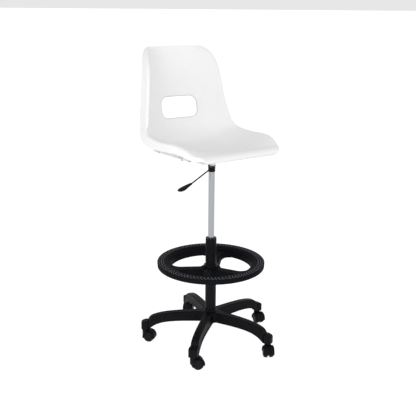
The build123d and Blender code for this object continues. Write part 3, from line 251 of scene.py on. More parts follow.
def shell_points(rows=150):
    """Closed cross sections of the shell, front lip first, each running over the top and back under.

    Across the chair the upper line is height = rise * share^2.6 out to the rim, then an arc over the
    rim and a straight flange; the lower line is the upper one moved in by the wall along its normal.
    """
    table = np.array(SHELL_STATIONS, float) / 1000
    chord = np.concatenate([[0], np.cumsum(np.linalg.norm(np.diff(table[:, :3], axis=0), axis=1))])
    spots = np.linspace(0, chord[-1], rows)
    row = smooth_curve(chord, table, spots)
    centre = np.stack([np.zeros(rows), row[:, 0], SHELL_LOW + row[:, 1]], 1)
    along = np.gradient(centre, axis=0)
    along /= np.linalg.norm(along, axis=1)[:, None]
    up_way = np.stack([np.zeros(rows), -along[:, 2], along[:, 1]], 1)
    half, rise, flange = (row[:, k][:, None] for k in (2, 3, 4))
    rise = np.maximum(rise, 0)
    rim = np.minimum(SHELL_RIM, 0.75 * flange)
    lean = np.arctan(WING_POWER * rise / (half - rim))
    reach = half - 0.5 * rim - rim * np.sin(lean)
    lean = np.arctan(WING_POWER * rise / reach)
    share = np.linspace(0, 1, 44)[None]
    slope = WING_POWER * rise / reach * share ** (WING_POWER - 1)
    length = np.hypot(slope, 1)
    wing = np.stack([reach * share, rise * share**WING_POWER, -slope / length, 1 / length], -1)
    turn = (math.pi / 2 + lean) * np.linspace(0.9, 0, 10)[None]
    hub_x = reach + rim * np.sin(lean)
    hub_y = rise - rim * np.cos(lean)
    arc = np.stack([hub_x + rim * np.cos(turn), hub_y + rim * np.sin(turn), np.cos(turn), np.sin(turn)], -1)
    drop = np.maximum(flange - rim, 0.002) * np.linspace(0.125, 1, 8)[None]
    skirt = np.stack(
        [hub_x + rim + FLANGE_SPLAY * drop, hub_y - drop, np.ones_like(drop), np.zeros_like(drop)], -1
    )
    right = np.concatenate([wing, arc, skirt], 1)
    left = right[:, :0:-1] * [-1, 1, -1, 1]
    whole = np.concatenate([left, right], 1)
    outer = whole[..., :2]
    inner = outer - SHELL_WALL * whole[..., 2:]
    hem_right = (outer[:, -1:] + inner[:, -1:]) / 2 - [0, 0.0022]
    hem_left = (outer[:, :1] + inner[:, :1]) / 2 - [0, 0.0022]
    loop = np.concatenate([outer, hem_right, inner[:, ::-1], hem_left], 1)
    grid = centre[:, None] + loop[..., :1] * [1, 0, 0] + loop[..., 1:] * up_way[:, None]
    return grid, outer.shape[1]


grid, across = shell_points()
rows, columns = grid.shape[:2]
faces = grid_faces(rows, columns, wrap_columns=True)
k = np.arange(across - 1)
lower = 2 * across - k
front_cap = np.stack([k, lower, lower - 1, k + 1], -1)
end_cap = front_cap[:, ::-1] + (rows - 1) * columns
faces = np.concatenate([faces, front_cap, end_cap])
hem_tips = [[0, columns - 1, 2 * across], [across - 1, across + 1, across]]
hem_tips += [[c + (rows - 1) * columns for c in tip[::-1]] for tip in hem_tips]
shell = new_piece("moulded_shell", grid.reshape(-1, 3), faces.tolist() + hem_tips, "seat", shell_white, 40)


def opening_outline(half_width, half_height, corner, steps=16):
    """Rounded rectangle in x and z about the opening's middle, as one closed loop."""
    turn = np.linspace(0, math.pi / 2, steps)
    arc_x = half_width - corner + corner * np.cos(turn)
    arc_z = half_height - corner + corner * np.sin(turn)
    arc = np.stack([arc_x, arc_z], -1)
    return np.concatenate([arc, (arc * [-1, 1])[::-1], -arc, (arc * [1, -1])[::-1]])


def even_loop(line, count):
    """Closed line set out again with even spacing: places at equal shares of its length."""
    ring = np.concatenate([line, line[:1]])
    length = np.concatenate([[0], np.cumsum(np.linalg.norm(np.diff(ring, axis=0), axis=1))])
    spots = np.linspace(0, length[-1], count, endpoint=False)
    return np.stack([np.interp(spots, length, ring[:, k]) for k in range(ring.shape[1])], -1)


def shell_depth(x, z, rows=400):
    """Front surface of the back at places (x, z): its y and its unit normal across the chair's middle.

    Each section gives the place centre + rise * (x / reach)^2.6 * up; the two sections whose heights
    enclose z are blended in proportion.
    """
    table = np.array(SHELL_STATIONS, float) / 1000
    chord = np.concatenate([[0], np.cumsum(np.linalg.norm(np.diff(table[:, :3], axis=0), axis=1))])
    row = smooth_curve(chord, table, np.linspace(0.55 * chord[-1], chord[-1], rows))
    along = np.gradient(row[:, :2], axis=0)
    along /= np.linalg.norm(along, axis=1)[:, None]
    rim = np.minimum(SHELL_RIM, 0.75 * row[:, 4])
    lean = np.arctan(WING_POWER * row[:, 3] / (row[:, 2] - rim))
    reach = row[:, 2] - 0.5 * rim - rim * np.sin(lean)
    climb = row[:, 3][:, None] * (np.abs(x)[None] / reach[:, None]) ** WING_POWER
    y = row[:, 0][:, None] - climb * along[:, 1][:, None]
    height = SHELL_LOW + row[:, 1][:, None] + climb * along[:, 0][:, None]
    below = np.clip((height < z[None]).sum(0) - 1, 0, rows - 2)
    k = np.arange(len(x))
    part = (z - height[below, k]) / (height[below + 1, k] - height[below, k])
    depth = y[below, k] * (1 - part) + y[below + 1, k] * part
    normal = np.stack([0 * x, -along[below, 1], along[below, 0]], -1)
    return depth, normal


OPENING_MIDDLE = SHELL_LOW + 0.153
OPENING_HALF_WIDTH, OPENING_HALF_HEIGHT, OPENING_CORNER = 0.0975, 0.0495, 0.035
OPENING_POINTS, BEAD_POINTS, BEAD_RADIUS = 160, 20, 0.0028
outline = even_loop(opening_outline(OPENING_HALF_WIDTH, OPENING_HALF_HEIGHT, OPENING_CORNER), OPENING_POINTS)
cut = np.stack([
    np.stack([outline[:, 0], np.full(OPENING_POINTS, depth), OPENING_MIDDLE + outline[:, 1]], -1)
    for depth in (0.2, 0.35)
])
cutter = bpy.data.meshes.new("opening_cutter")
loop = np.arange(OPENING_POINTS)
after, far = (loop + 1) % OPENING_POINTS, loop + OPENING_POINTS
sides = np.stack([loop, after, after + OPENING_POINTS, far], -1)
cutter.from_pydata(cut.reshape(-1, 3).tolist(), [], sides.tolist() + [loop[::-1].tolist(), far.tolist()])
knife = bpy.data.objects.new("opening_cutter", cutter)
for mesh in (cutter, shell.data):
    work = bmesh.new()
    work.from_mesh(mesh)
    bmesh.ops.remove_doubles(work, verts=work.verts, dist=1e-6)
    bmesh.ops.recalc_face_normals(work, faces=work.faces)
    work.to_mesh(mesh)
    work.free()
bpy.context.scene.collection.objects.link(knife)
carve = shell.modifiers.new("back_opening", "BOOLEAN")
carve.operation = "DIFFERENCE"
carve.object = knife
carve.solver = "EXACT"
bpy.context.view_layer.update()
cut_mesh = bpy.data.meshes.new_from_object(shell.evaluated_get(bpy.context.evaluated_depsgraph_get()))
shell.modifiers.clear()
shell.data = cut_mesh
cut_mesh.shade_smooth()
cut_mesh.set_sharp_from_angle(angle=math.radians(40))
bpy.data.objects.remove(knife)
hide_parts("seat_shell")

# rolled edge of the opening: a round bead on the wall's middle surface, all the way round, in a darker white
# that is painted shade along the opening's edge
bead_x, bead_z = outline[:, 0], OPENING_MIDDLE + outline[:, 1]
front, normal = shell_depth(bead_x, bead_z)
middle = np.stack([bead_x, front, bead_z], -1) - normal * SHELL_WALL / 2
tangent = np.roll(middle, -1, 0) - np.roll(middle, 1, 0)
tangent /= np.linalg.norm(tangent, axis=1)[:, None]
away = np.cross(tangent, normal)
turn = np.linspace(0, TAU, BEAD_POINTS, endpoint=False)[None, :, None]
bead = middle[:, None] + BEAD_RADIUS * (np.cos(turn) * away[:, None] + np.sin(turn) * normal[:, None])
bead_faces = grid_faces(OPENING_POINTS, BEAD_POINTS, wrap_rows=True, wrap_columns=True)
edge = new_piece("opening_rolled_edge", bead.reshape(-1, 3), bead_faces, "seat", edge_painted_shade, 60)

# ==== foot ring ==================================================================================
RING_TOP, RING_RADIUS, RING_TREAD, RING_INNER = 391.0, 245.0, 203.0, 185.0
RING_HUB, HUB_BORE, HUB_LOW, HUB_HIGH = 38.0, 29.16, 313.0, 362.0
HUB_FLARE, FLARE_FILLET = 46.0, 20.0
SPOKE_HALF, SPOKE_FILLET, SPOKE_EDGE, SPOKE_START, FIRST_SPOKE = 25.0, 36.0, 6.0, 34.0, 44.0


def spin(points, degrees):
    """Points turned about the column: x' = x cos a - y sin a, y' = x sin a + y cos a."""
    a = math.radians(degrees)
    turn = np.array([[math.cos(a), math.sin(a), 0], [-math.sin(a), math.cos(a), 0], [0, 0, 1]])
    return points @ turn


def gather(shapes):
    """One point array and one face array from several (points, faces) shapes."""
    points = [spots.reshape(-1, 3) for spots, _ in shapes]
    starts = np.cumsum([0] + [len(spots) for spots in points[:-1]])
    return np.concatenate(points), np.concatenate([rows + start for (_, rows), start in zip(shapes, starts)])


def closed_sweep(loops):
    """Faces of a closed solid from a stack of closed loops: bands, then a fan over each end loop.

    A fan's triangle is kept as a row of four whose second and third corners are the same.
    """
    rows, columns = loops.shape[:2]
    bands = grid_faces(rows, columns, wrap_columns=True)
    middles = loops[[0, -1]].mean(1)
    points = np.concatenate([loops.reshape(-1, 3), middles])
    k = np.arange(columns)
    after = (k + 1) % columns
    middle = np.full(columns, rows * columns)
    first = np.stack([k, middle, middle, after], -1)
    base = (rows - 1) * columns
    last = np.stack([base + after, middle + 1, middle + 1, base + k], -1)
    return points, np.concatenate([bands, first, last])


def solid_piece(name, shapes, body, material, sharp=32.0):
    """Object from several closed shapes in millimetres, doubles merged and faces turned outwards."""
    points, faces = gather(shapes)
    fans = faces[:, 1] == faces[:, 2]
    rows = faces[~fans].tolist() + faces[fans][:, [0, 1, 3]].tolist()
    piece = new_piece(name, points / 1000, rows, body, material, sharp)
    work = bmesh.new()
    work.from_mesh(piece.data)
    bmesh.ops.remove_doubles(work, verts=work.verts, dist=1e-6)
    bmesh.ops.recalc_face_normals(work, faces=work.faces)
    work.to_mesh(piece.data)
    work.free()
    piece.data.shade_smooth()
    piece.data.set_sharp_from_angle(angle=math.radians(sharp))
    return piece


def turned_shape(profile, turns=128):
    """Closed (radius, height) profile turned once about the column."""
    grid = turned_points(np.array(profile, float), turns)
    return grid, grid_faces(turns, grid.shape[1], wrap_rows=True, wrap_columns=True)


rim_line = rounded_line(
    [
        (RING_RADIUS - 1.5, RING_TOP - 22), (RING_RADIUS, RING_TOP), (RING_TREAD, RING_TOP),
        (RING_INNER + 0.5, RING_TOP - 9.5), (RING_INNER, RING_TOP - 43), (RING_INNER + 4, RING_TOP - 43),
        (RING_INNER + 4.5, RING_TOP - 12), (RING_TREAD, RING_TOP - 4), (RING_RADIUS - 5, RING_TOP - 4),
        (RING_RADIUS - 5, RING_TOP - 22),
    ],
    [1, 4.5, 5, 4, 1, 1, 3, 4, 2, 1],
    6,
)
ring_shapes = [turned_shape(rim_line, 200)]

# the spokes: y = SPOKE_HALF along the straight run, with a fillet circle at the hub and one at the rim
fillet_x = math.sqrt((RING_INNER - SPOKE_FILLET) ** 2 - (SPOKE_HALF + SPOKE_FILLET) ** 2)
meet = (SPOKE_HALF + SPOKE_FILLET) / (RING_INNER - SPOKE_FILLET)
meet_x = RING_INNER * math.sqrt(1 - meet**2)
flare_x = math.sqrt((HUB_FLARE + FLARE_FILLET) ** 2 - (SPOKE_HALF + FLARE_FILLET) ** 2)
x = np.concatenate([
    np.linspace(SPOKE_START, flare_x, 9)[:-1], np.linspace(flare_x, fillet_x, 12)[:-1],
    np.linspace(fillet_x, meet_x, 16), [meet_x + 4, 178.0, RING_INNER],
])
inside = np.clip(x - fillet_x, 0, SPOKE_FILLET)
half = SPOKE_HALF + SPOKE_FILLET - np.sqrt(SPOKE_FILLET**2 - inside**2)
inside = np.clip(flare_x - x, 0, FLARE_FILLET)
half += FLARE_FILLET - np.sqrt(FLARE_FILLET**2 - inside**2)
half = np.where(x > meet_x, np.sqrt(np.maximum((RING_INNER + 1.5) ** 2 - x**2, 25)), half)
share = (x - SPOKE_START) / 152
top = 359 + 15 * share
low = 316 + 34.5 * share
turn = np.linspace(0, math.pi / 2, 6)
crown = np.array([(0.0, 0.6), (0.35, 0.45), (0.7, 0.1)])
line_y = [half[:, None] * crown[None, :, 0], half[:, None] - SPOKE_EDGE + SPOKE_EDGE * np.sin(turn)[None]]
line_z = [top[:, None] + crown[None, :, 1], top[:, None] - SPOKE_EDGE + SPOKE_EDGE * np.cos(turn)[None]]
line_y += [half[:, None] + [[0.8, 0.8, -3.2, -3.2]]]
line_z += [low[:, None] + [[2, 0, 0, 16]]]
line_y = np.concatenate(line_y, 1)
line_z = np.concatenate(line_z, 1)
loop_y = np.concatenate([line_y, -line_y[:, ::-1][:, :-1]], 1)
loop_z = np.concatenate([line_z, line_z[:, ::-1][:, :-1]], 1)
spoke = np.stack([np.broadcast_to(x[:, None], loop_y.shape), loop_y, loop_z], -1)
for number in range(3):
    ring_shapes.append(closed_sweep(spin(spoke, FIRST_SPOKE + 120 * number)))

hub_line = rounded_line(
    [
        (HUB_BORE, HUB_LOW), (RING_HUB, HUB_LOW), (RING_HUB, HUB_HIGH - 6), (RING_HUB - 3, HUB_HIGH),
        (HUB_BORE, HUB_HIGH),
    ],
    [0.5, 3, 3, 2.5, 0.5],
    5,
)
ring_shapes.append(turned_shape(hub_line, 96))
flare_line = rounded_line(
    [(37, 315), (HUB_FLARE + 0.8, 315), (HUB_FLARE, 358.5), (37, 359.5)], [0, 1.5, 6, 0], 6
)
ring_shapes.append(turned_shape(flare_line, 96))


def barrel(profile, turns, spot, way):
    """Closed solid turned about a line from a profile of (radius, distance); both ends are closed flat."""
    way = np.array(way, float)
    across = np.cross(way, [0, 0, 1.0])
    if np.linalg.norm(across) < 1e-6:
        across = np.array([1.0, 0, 0])
    across /= np.linalg.norm(across)
    over = np.cross(across, way)
    angle = np.linspace(0, TAU, turns, endpoint=False)
    round_way = np.cos(angle)[:, None] * across + np.sin(angle)[:, None] * over
    profile = np.array(profile, float)
    loops = np.array(spot) + profile[:, 1, None, None] * way + profile[:, 0, None, None] * round_way[None]
    return closed_sweep(loops)


CLAMP, CLAMP_HEIGHT = math.radians(-136), 355.0
clamp_way = (math.cos(CLAMP), math.sin(CLAMP), 0)
boss_line = rounded_line([(11, 31), (11, 56), (0.01, 56)], [0, 1.5, 0], 4, closed=False)
ring_shapes.append(barrel(boss_line, 40, (0, 0, CLAMP_HEIGHT), clamp_way))
ring = solid_piece("foot_ring_moulding", ring_shapes, "foot_ring", ring_charcoal, 35)
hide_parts("foot_ring")


# grip studs: three rows of raised lozenges on the tread
def studs(radius, count, length, width, tilt, offset=0.0):
    """Raised lozenges round the tread: a base outline and two smaller ones up to 0.9 mm above the tread."""
    angle = (np.arange(count) + offset) * TAU / count
    corners = np.array([(1, 0), (0, 1), (-1, 0), (0, -1)], float)
    lean = np.radians(tilt) * np.where(np.arange(count) % 2 == 0, 1, -1)
    base = corners * [length / 2, width / 2]
    turned = np.stack(
        [
            base[None, :, 0] * np.cos(lean)[:, None] - base[None, :, 1] * np.sin(lean)[:, None],
            base[None, :, 0] * np.sin(lean)[:, None] + base[None, :, 1] * np.cos(lean)[:, None],
        ],
        -1,
    )
    levels = []
    for scale, height in ((1.0, RING_TOP - 0.4), (0.85, RING_TOP + 0.5), (0.45, RING_TOP + 0.9)):
        along = turned[..., 0] * scale
        out = radius + turned[..., 1] * scale
        spin_angle = angle[:, None]
        px = out * np.cos(spin_angle) - along * np.sin(spin_angle)
        py = out * np.sin(spin_angle) + along * np.cos(spin_angle)
        levels.append(np.stack([px, py, np.full_like(px, height)], -1))
    grid = np.stack(levels, 1)
    rows = grid_faces(3, 4, wrap_columns=True)
    caps = np.array([[0, 3, 2, 1], [8, 9, 10, 11]])
    one = np.concatenate([rows, caps])
    faces = (one[None] + 12 * np.arange(count)[:, None, None]).reshape(-1, 4)
    return grid.reshape(-1, 3), faces


stud_shapes = [
    studs(237.0, 96, 9.5, 5.0, 24), studs(227.0, 92, 10.5, 5.0, 38), studs(216.5, 88, 10.0, 4.6, -30, 0.5),
]
grips = solid_piece("ring_grip_studs", stud_shapes, "foot_ring", stud_painted_highlight, 20)

# clamp knob: seven lobes, a rounded rim and a dished face
angle = np.linspace(0, TAU, 112, endpoint=False)
lobe = 0.5 - 0.5 * np.cos(7 * angle)
knob_line = rounded_line(
    [(9.9, 56.3), (9.9, 64.5), (17.3, 67), (17.5, 86), (13.5, 88), (11, 86.6), (0.01, 86.2)],
    [0, 2, 3, 3, 1.5, 1.5, 0], 5, closed=False,
)
depth = np.clip((knob_line[:, 0] - 11) / 5, 0, 1)
reach = knob_line[:, :1] - 2.0 * depth[:, None] * (1 - lobe[None])
across = np.array([math.sin(CLAMP), -math.cos(CLAMP), 0])
loops = (
    np.array([0, 0, CLAMP_HEIGHT])
    + knob_line[:, 1, None, None] * np.array(clamp_way)
    + reach[..., None] * (np.cos(angle)[:, None] * across + np.sin(angle)[:, None] * [0, 0, 1.0])[None]
)
knob = solid_piece("ring_clamp_knob", [closed_sweep(loops)], "clamp_knob", base_charcoal, 35)
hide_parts("clamp_knob")

# ==== star base ==================================================================================
ARMS, FIRST_ARM, ARM_END, ROOT, STEM_REACH = 5, 4.4, 290.0, 26.0, 303.0
HALF_SECTOR, ARM_STEP = math.pi / ARMS, 360 / ARMS


def arm_share(r):
    """Share of the way from the hub's wall (0) to the arm's end (1)."""
    return (r - ROOT) / (ARM_END - ROOT)


def arm_top(r):
    """Top of an arm: 146 less 13 share^2, 20 share^7 and a rounded drop of 9 over the last 18 mm."""
    share = arm_share(r)
    return 146.0 - 13 * share**2 - 20 * share**7 - 9 * np.clip((r - 272) / 18, 0, 1) ** 2


def arm_low(r):
    """Underside of an arm: 100 plus 8 share, less 26 share^4 and 21 share^9."""
    share = arm_share(r)
    return 100.0 + 8 * share - 26 * share**4 - 21 * share**9


def edge_angle(r, half, taper, web):
    """Polar angle of an arm's edge: the sector's border, then the web's arc, then the straight side.

    With the web's arc centre at distance d on the border, cos(36 - angle) = (r^2 + d^2 - web^2) / 2rd,
    and on the straight side sin(angle) = half width / r.
    """
    d = (half + web) / math.sin(HALF_SECTOR)
    tangent = math.hypot((half + web) / math.tan(HALF_SECTOR), half)
    bend = (r**2 + d**2 - web**2) / (2 * r * d)
    on_web = HALF_SECTOR - np.arccos(np.clip(bend, -1, 1))
    width = half - taper * np.maximum(r - tangent, 0)
    on_side = np.arcsin(np.clip(width / r, 0, 1))
    return np.where(r <= d - web, HALF_SECTOR, np.where(r < tangent, on_web, on_side))


# half width, narrowing per millimetre outwards, and radius of the web between two arms
TOP_EDGE = (18.0, 0.004, 17.0)
FOOT_EDGE = (24.5, 0.014, 14.0)
CROWN_EDGE = 5.0


def valley(edge):
    """Radius at which two neighbouring arms' webs meet on the sector's border."""
    return (edge[0] + edge[2]) / math.sin(HALF_SECTOR) - edge[2]


def ease(value, low, high):
    """Smooth step from 0 at low to 1 at high: 3t^2 - 2t^3."""
    t = np.clip((value - low) / (high - low), 0, 1)
    return t * t * (3 - 2 * t)


top_valley, foot_valley = valley(TOP_EDGE), valley(FOOT_EDGE)
r = np.concatenate([
    np.linspace(29.4, top_valley, 9)[:-1], top_valley + (62 - top_valley) * np.linspace(0, 1, 14)[:-1] ** 1.6,
    np.linspace(62, ARM_END, 60),
])
share = np.linspace(-1, 1, 45)
limit = edge_angle(r, *TOP_EDGE)
phi = limit[:, None] * share[None]
across = np.abs(share)[None] * np.ones_like(phi)
open_out = ease(r, 36, 66)[:, None]
shoulder = CROWN_EDGE * (1 - np.sqrt(np.clip(1 - ((across - 0.74) / 0.26).clip(0, 1) ** 2, 0, 1)))
rail = 0.9 * np.exp(-(((across - 0.70) / 0.055) ** 2)) * ease(r, 50, 80)[:, None]
lozenge = 1.6 * np.exp(-(((r[:, None] - 268) / 6) ** 4) - ((across * 12 / 5.5) ** 4))
height = arm_top(r)[:, None] - shoulder * (0.25 + 0.75 * open_out) + rail + lozenge
skin = np.stack([r[:, None] * np.cos(phi), r[:, None] * np.sin(phi), height], -1)

# the side walls, from the crown's edge down to the foot, with a sunk panel inside a raised frame
steps = 70
u = np.linspace(0, 1, steps) ** 1.7
r_top = top_valley + (ARM_END - top_valley) * u
r_foot = foot_valley + (ARM_END - foot_valley) * u
a_top = edge_angle(r_top, *TOP_EDGE)
a_foot = edge_angle(r_foot, *FOOT_EDGE)
upper_height = arm_top(r_top) - CROWN_EDGE * (0.25 + 0.75 * ease(r_top, 36, 66))
upper = np.stack([r_top * np.cos(a_top), r_top * np.sin(a_top), upper_height], -1)
lower = np.stack([r_foot * np.cos(a_foot), r_foot * np.sin(a_foot), arm_low(r_foot)], -1)
v = np.concatenate([
    np.linspace(0, 0.12, 4), np.linspace(0.14, 0.24, 5), np.linspace(0.3, 0.74, 8), np.linspace(0.78, 0.88, 5),
    [0.94, 1.0],
])
wall = upper[:, None] * (1 - v)[None, :, None] + lower[:, None] * v[None, :, None]
run = np.gradient(lower, axis=0)
outward = np.stack([-run[:, 1], run[:, 0]], -1)
outward /= np.linalg.norm(outward, axis=1)[:, None]
sunk_down = ease(v, 0.13, 0.24) - ease(v, 0.77, 0.89)
sunk_along = ease(r_foot, 58, 68) - ease(r_foot, 236, 262)
sunk = 2.0 * sunk_down[None] * sunk_along[:, None]
wall[..., :2] -= outward[:, None] * sunk[..., None]
mirror = np.array([1, -1, 1])
end_top = skin[-1]
end_low = np.stack([end_top[:, 0], end_top[:, 1] * 1.05, np.full(len(end_top), arm_low(ARM_END))], -1)
end = np.stack([end_top, end_low])
arm_shapes = []
for number in range(ARMS):
    for part in (skin, wall, wall * mirror, end):
        rows, columns = part.shape[:2]
        faces = grid_faces(rows, columns)
        arm_shapes.append((spin(part, FIRST_ARM + ARM_STEP * number), faces))
arms = solid_piece("star_base_arms", arm_shapes, "base", base_charcoal, 38)
work = bmesh.new()
work.from_mesh(arms.data)
bmesh.ops.remove_doubles(work, verts=work.verts, dist=4e-5)
bmesh.ops.recalc_face_normals(work, faces=work.faces)
if sum(face.normal.z for face in work.faces if face.calc_center_median().z > 0.14) < 0:
    bmesh.ops.reverse_faces(work, faces=work.faces)
work.to_mesh(arms.data)
work.free()
wall_depth = arms.modifiers.new("moulded_wall", "SOLIDIFY")
wall_depth.thickness = 0.0035
wall_depth.offset = -1.0
arms.data.shade_smooth()
arms.data.set_sharp_from_angle(angle=math.radians(38))


def rounded_block(length, width, corner, levels, steps=9):
    """Stack of rounded rectangles: each level is (height, inset from the full outline)."""
    turn = np.linspace(0, math.pi / 2, steps)
    loops = []
    for height, inset in levels:
        c = max(corner - inset, 0.6)
        x = length / 2 - inset - c
        y = width / 2 - inset - c
        quarter = np.stack([x + c * np.cos(turn), y + c * np.sin(turn)], -1)
        loop = np.concatenate([
            quarter, (quarter * [-1, 1])[::-1], -quarter, (quarter * [1, -1])[::-1],
        ])
        loops.append(np.concatenate([loop, np.full((len(loop), 1), height)], 1))
    return np.stack(loops)


turn = np.linspace(0, math.pi / 2, 7)
block_levels = [(60.0, 1.0), (60.4, 0.3), (61.5, 0.0), (70.0, 0.0), (85.0, 0.0)]
block_levels += [(91.0 + 6 * s, 6 - 6 * c) for s, c in zip(np.sin(turn), np.cos(turn))]
block_levels += [(97.3, 8.0), (97.4, 9.5)]
block = rounded_block(36, 42, 13, block_levels)
# the block's top slopes down outwards
block[..., 2] += np.clip((block[..., 2] - 75) / 22, 0, 1) * (5 - 0.28 * np.clip(block[..., 0] + 8, 0, 40))
block_shapes = []
for number in range(ARMS):
    block_shapes.append(closed_sweep(spin(block + [STEM_REACH + 1.5, 0, 0], FIRST_ARM + ARM_STEP * number)))
# hub sleeve round the column and a stiffening rib under each arm
block_shapes.append(turned_shape([(25.1, 95), (29.5, 95), (30.5, 144), (30.5, 145.9), (25.1, 145.9)], 96))
rib_x = np.linspace(31, 284, 40)
rib_low, rib_high = arm_low(rib_x) + 4, arm_top(rib_x) - 5
rib = np.stack([
    np.stack([rib_x, np.full_like(rib_x, s * 1.25), z], -1)
    for s, z in ((-1, rib_low), (1, rib_low), (1, rib_high), (-1, rib_high))
], 1)
for number in range(ARMS):
    block_shapes.append(closed_sweep(spin(rib, FIRST_ARM + ARM_STEP * number)))
blocks = solid_piece("star_base_end_blocks", block_shapes, "base", base_charcoal, 38)
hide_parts("star_base")

# ==== castors ====================================================================================
TRAIL, WHEEL, HOOD_IN, HOOD_OUT = 19.0, 25.0, 26.5, 29.5
TRAIL_ANGLES = (-104.0, 40.0, -51.0, -20.0, -121.0)
SHOULDER_Y, SHOULDER_R = 15.3, 17.0


def about_axle(profile, angles):
    """Profile (radius, place along the axle) carried round the axle: x = trail + r cos a, z = 25 + r sin a."""
    a = angles[:, None]
    rad = profile[None, :, 0] if profile.ndim == 2 else profile[..., 0]
    off = profile[None, :, 1] if profile.ndim == 2 else profile[..., 1]
    return np.stack([TRAIL + rad * np.cos(a), off + 0 * a, WHEEL + rad * np.sin(a)], -1)


def shoulder_arc(reach, start, stop, steps, side):
    """Arc of a hood's rounded shoulder as (radius, place along the axle), angles in degrees."""
    turn = np.radians(np.linspace(start, stop, steps))
    return np.stack([SHOULDER_R + reach * np.cos(turn), side * (SHOULDER_Y + reach * np.sin(turn))], -1)


outer, inner = HOOD_OUT - SHOULDER_R, HOOD_IN - SHOULDER_R
half_out = shoulder_arc(outer, 0, 52, 9, 1)
half_in = shoulder_arc(inner, 52, 0, 8, 1)
right_side = np.concatenate([half_out, half_in])
left_side = (right_side * [1, -1])[::-1]
band_line = np.concatenate([
    right_side, [(HOOD_IN, 6.0), (HOOD_IN, -6.0)], left_side, [(HOOD_OUT, -6.0), (HOOD_OUT, 6.0)],
])
sweep = np.radians(np.concatenate([[-11.2, -10.6], np.linspace(-9.5, 194.5, 60), [195.6, 196.2]]))
thin = np.concatenate([[0.45, 0.8], np.ones(60), [0.8, 0.45]])[:, None]
band = np.broadcast_to(band_line, (len(sweep), *band_line.shape)).copy()
middle_radius = (HOOD_OUT + HOOD_IN) / 2
on_roof = np.abs(band[..., 1]) <= SHOULDER_Y + 0.1
thinned = middle_radius + (band[..., 0] - middle_radius) * thin
band[..., 0] = np.where(on_roof, thinned, band[..., 0])
hood_shapes = [closed_sweep(about_axle(band, sweep))]
web_line = np.array([(27.5, 4.5), (27.5, -4.5), (0.5, -4.5), (0.5, 4.5)])
web_sweep = np.radians(np.linspace(-10, 195, 50))
hood_shapes.append(closed_sweep(about_axle(web_line, web_sweep)))
turn = np.linspace(0, TAU, 48, endpoint=False)
neck_levels = [(24.0, 14.2), (26.0, 15.0), (42.0, 15.0), (50.0, 15.0), (56.4, 15.0), (57.9, 14.4), (58.4, 13.2)]
neck = np.stack([
    np.stack([rad * np.cos(turn), rad * np.sin(turn), np.full_like(turn, level)], -1)
    for level, rad in neck_levels
])
# the neck stops at the wheel space: points nearer the axle than the hood's inside move out to it
gap = neck[..., [0, 2]] - [TRAIL, WHEEL]
distance = np.linalg.norm(gap, axis=-1)
push = np.where(distance < HOOD_IN, HOOD_IN / np.maximum(distance, 1e-6), 1.0)
neck[..., 0] = TRAIL + gap[..., 0] * push
neck[..., 2] = WHEEL + gap[..., 1] * push
hood_shapes.append(closed_sweep(neck))


def wheel_line():
    """Half section of a wheel from its inner face round the tread to a ringed, slightly domed disc."""
    return rounded_line(
        [
            (0.01, 4.8), (24.2, 4.8), (25, 5.8), (25, 14.5), (23.2, 20.4), (17.6, 23.3), (15.2, 23.3),
            (14.6, 22.2), (13.0, 22.2), (12.4, 23.1), (6.2, 23.3), (5.8, 22.7), (0.01, 22.7),
        ],
        [0, 0.6, 1, 5, 5, 2, 0.6, 0.3, 0.3, 0.6, 0.4, 0.4, 0], 5, closed=False,
    )


wheel_shape = closed_sweep(about_axle(wheel_line(), np.linspace(0, TAU, 72, endpoint=False)).transpose(1, 0, 2))


def placed(shapes, number):
    """A castor's shapes turned to its heading and moved to its arm's end."""
    heading = math.radians(TRAIL_ANGLES[number])
    turn = np.array([
        [math.cos(heading), math.sin(heading), 0], [-math.sin(heading), math.cos(heading), 0], [0, 0, 1],
    ])
    arm = math.radians(FIRST_ARM + ARM_STEP * number)
    spot = np.array([STEM_REACH * math.cos(arm), STEM_REACH * math.sin(arm), 0])
    return [(points.reshape(-1, 3) @ turn + spot, faces) for points, faces in shapes]


for number in range(ARMS):
    name = f"castor_{number + 1}"
    hood = solid_piece(f"{name}_hood_moulding", placed(hood_shapes, number), name, base_charcoal, 38)
    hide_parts(f"{name}_hood")
    for side, word in ((1, "right"), (-1, "left")):
        shape = [(wheel_shape[0] * [1, side, 1], wheel_shape[1])]
        wheel = solid_piece(
            f"{name}_{word}_wheel_moulding", placed(shape, number), f"{name}_wheel_{word}", wheel_charcoal, 30
        )
        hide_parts(f"{name}_wheel_{word}")

# ==== height lever and collar ====================================================================
# paddle: a flat drop hanging from its neck; distance along it, half width, rise above and drop below
PADDLE = np.array([
    (0, 5.3, 4.4, 4.4), (8, 6.4, 4.7, 5.4), (20, 8.8, 5.0, 8.0), (34, 11.3, 5.0, 11.2), (46, 12.4, 4.8, 12.8),
    (58, 11.4, 4.3, 11.6), (68, 7.8, 3.3, 7.6), (73.5, 3.4, 1.9, 3.4), (75, 0.4, 0.4, 0.6),
])
PADDLE_LEAN = math.radians(17)
paddle_way = np.array([-math.cos(PADDLE_LEAN), 0, -math.sin(PADDLE_LEAN)])
paddle_up = np.array([-math.sin(PADDLE_LEAN), 0, math.cos(PADDLE_LEAN)])
paddle_root = np.array([-119.0, -19.0, 773.0]) + 1.5 * paddle_way
spots = PADDLE[-1, 0] * np.sin(np.linspace(0, math.pi / 2, 30))
row = np.stack([np.interp(spots, PADDLE[:, 0], PADDLE[:, k]) for k in (1, 2, 3)], -1)
turn = np.linspace(0, TAU, 48, endpoint=False)
bend = np.stack([np.cos(turn), np.sin(turn)], -1)
bend = np.sign(bend) * np.abs(bend) ** 0.8
rise = np.where(bend[None, :, 1] > 0, row[:, 1:2], row[:, 2:3])
loops = (
    paddle_root + spots[:, None, None] * paddle_way
    + (row[:, :1] * bend[None, :, 0])[..., None] * [0, 1.0, 0]
    + (rise * bend[None, :, 1])[..., None] * paddle_up
)
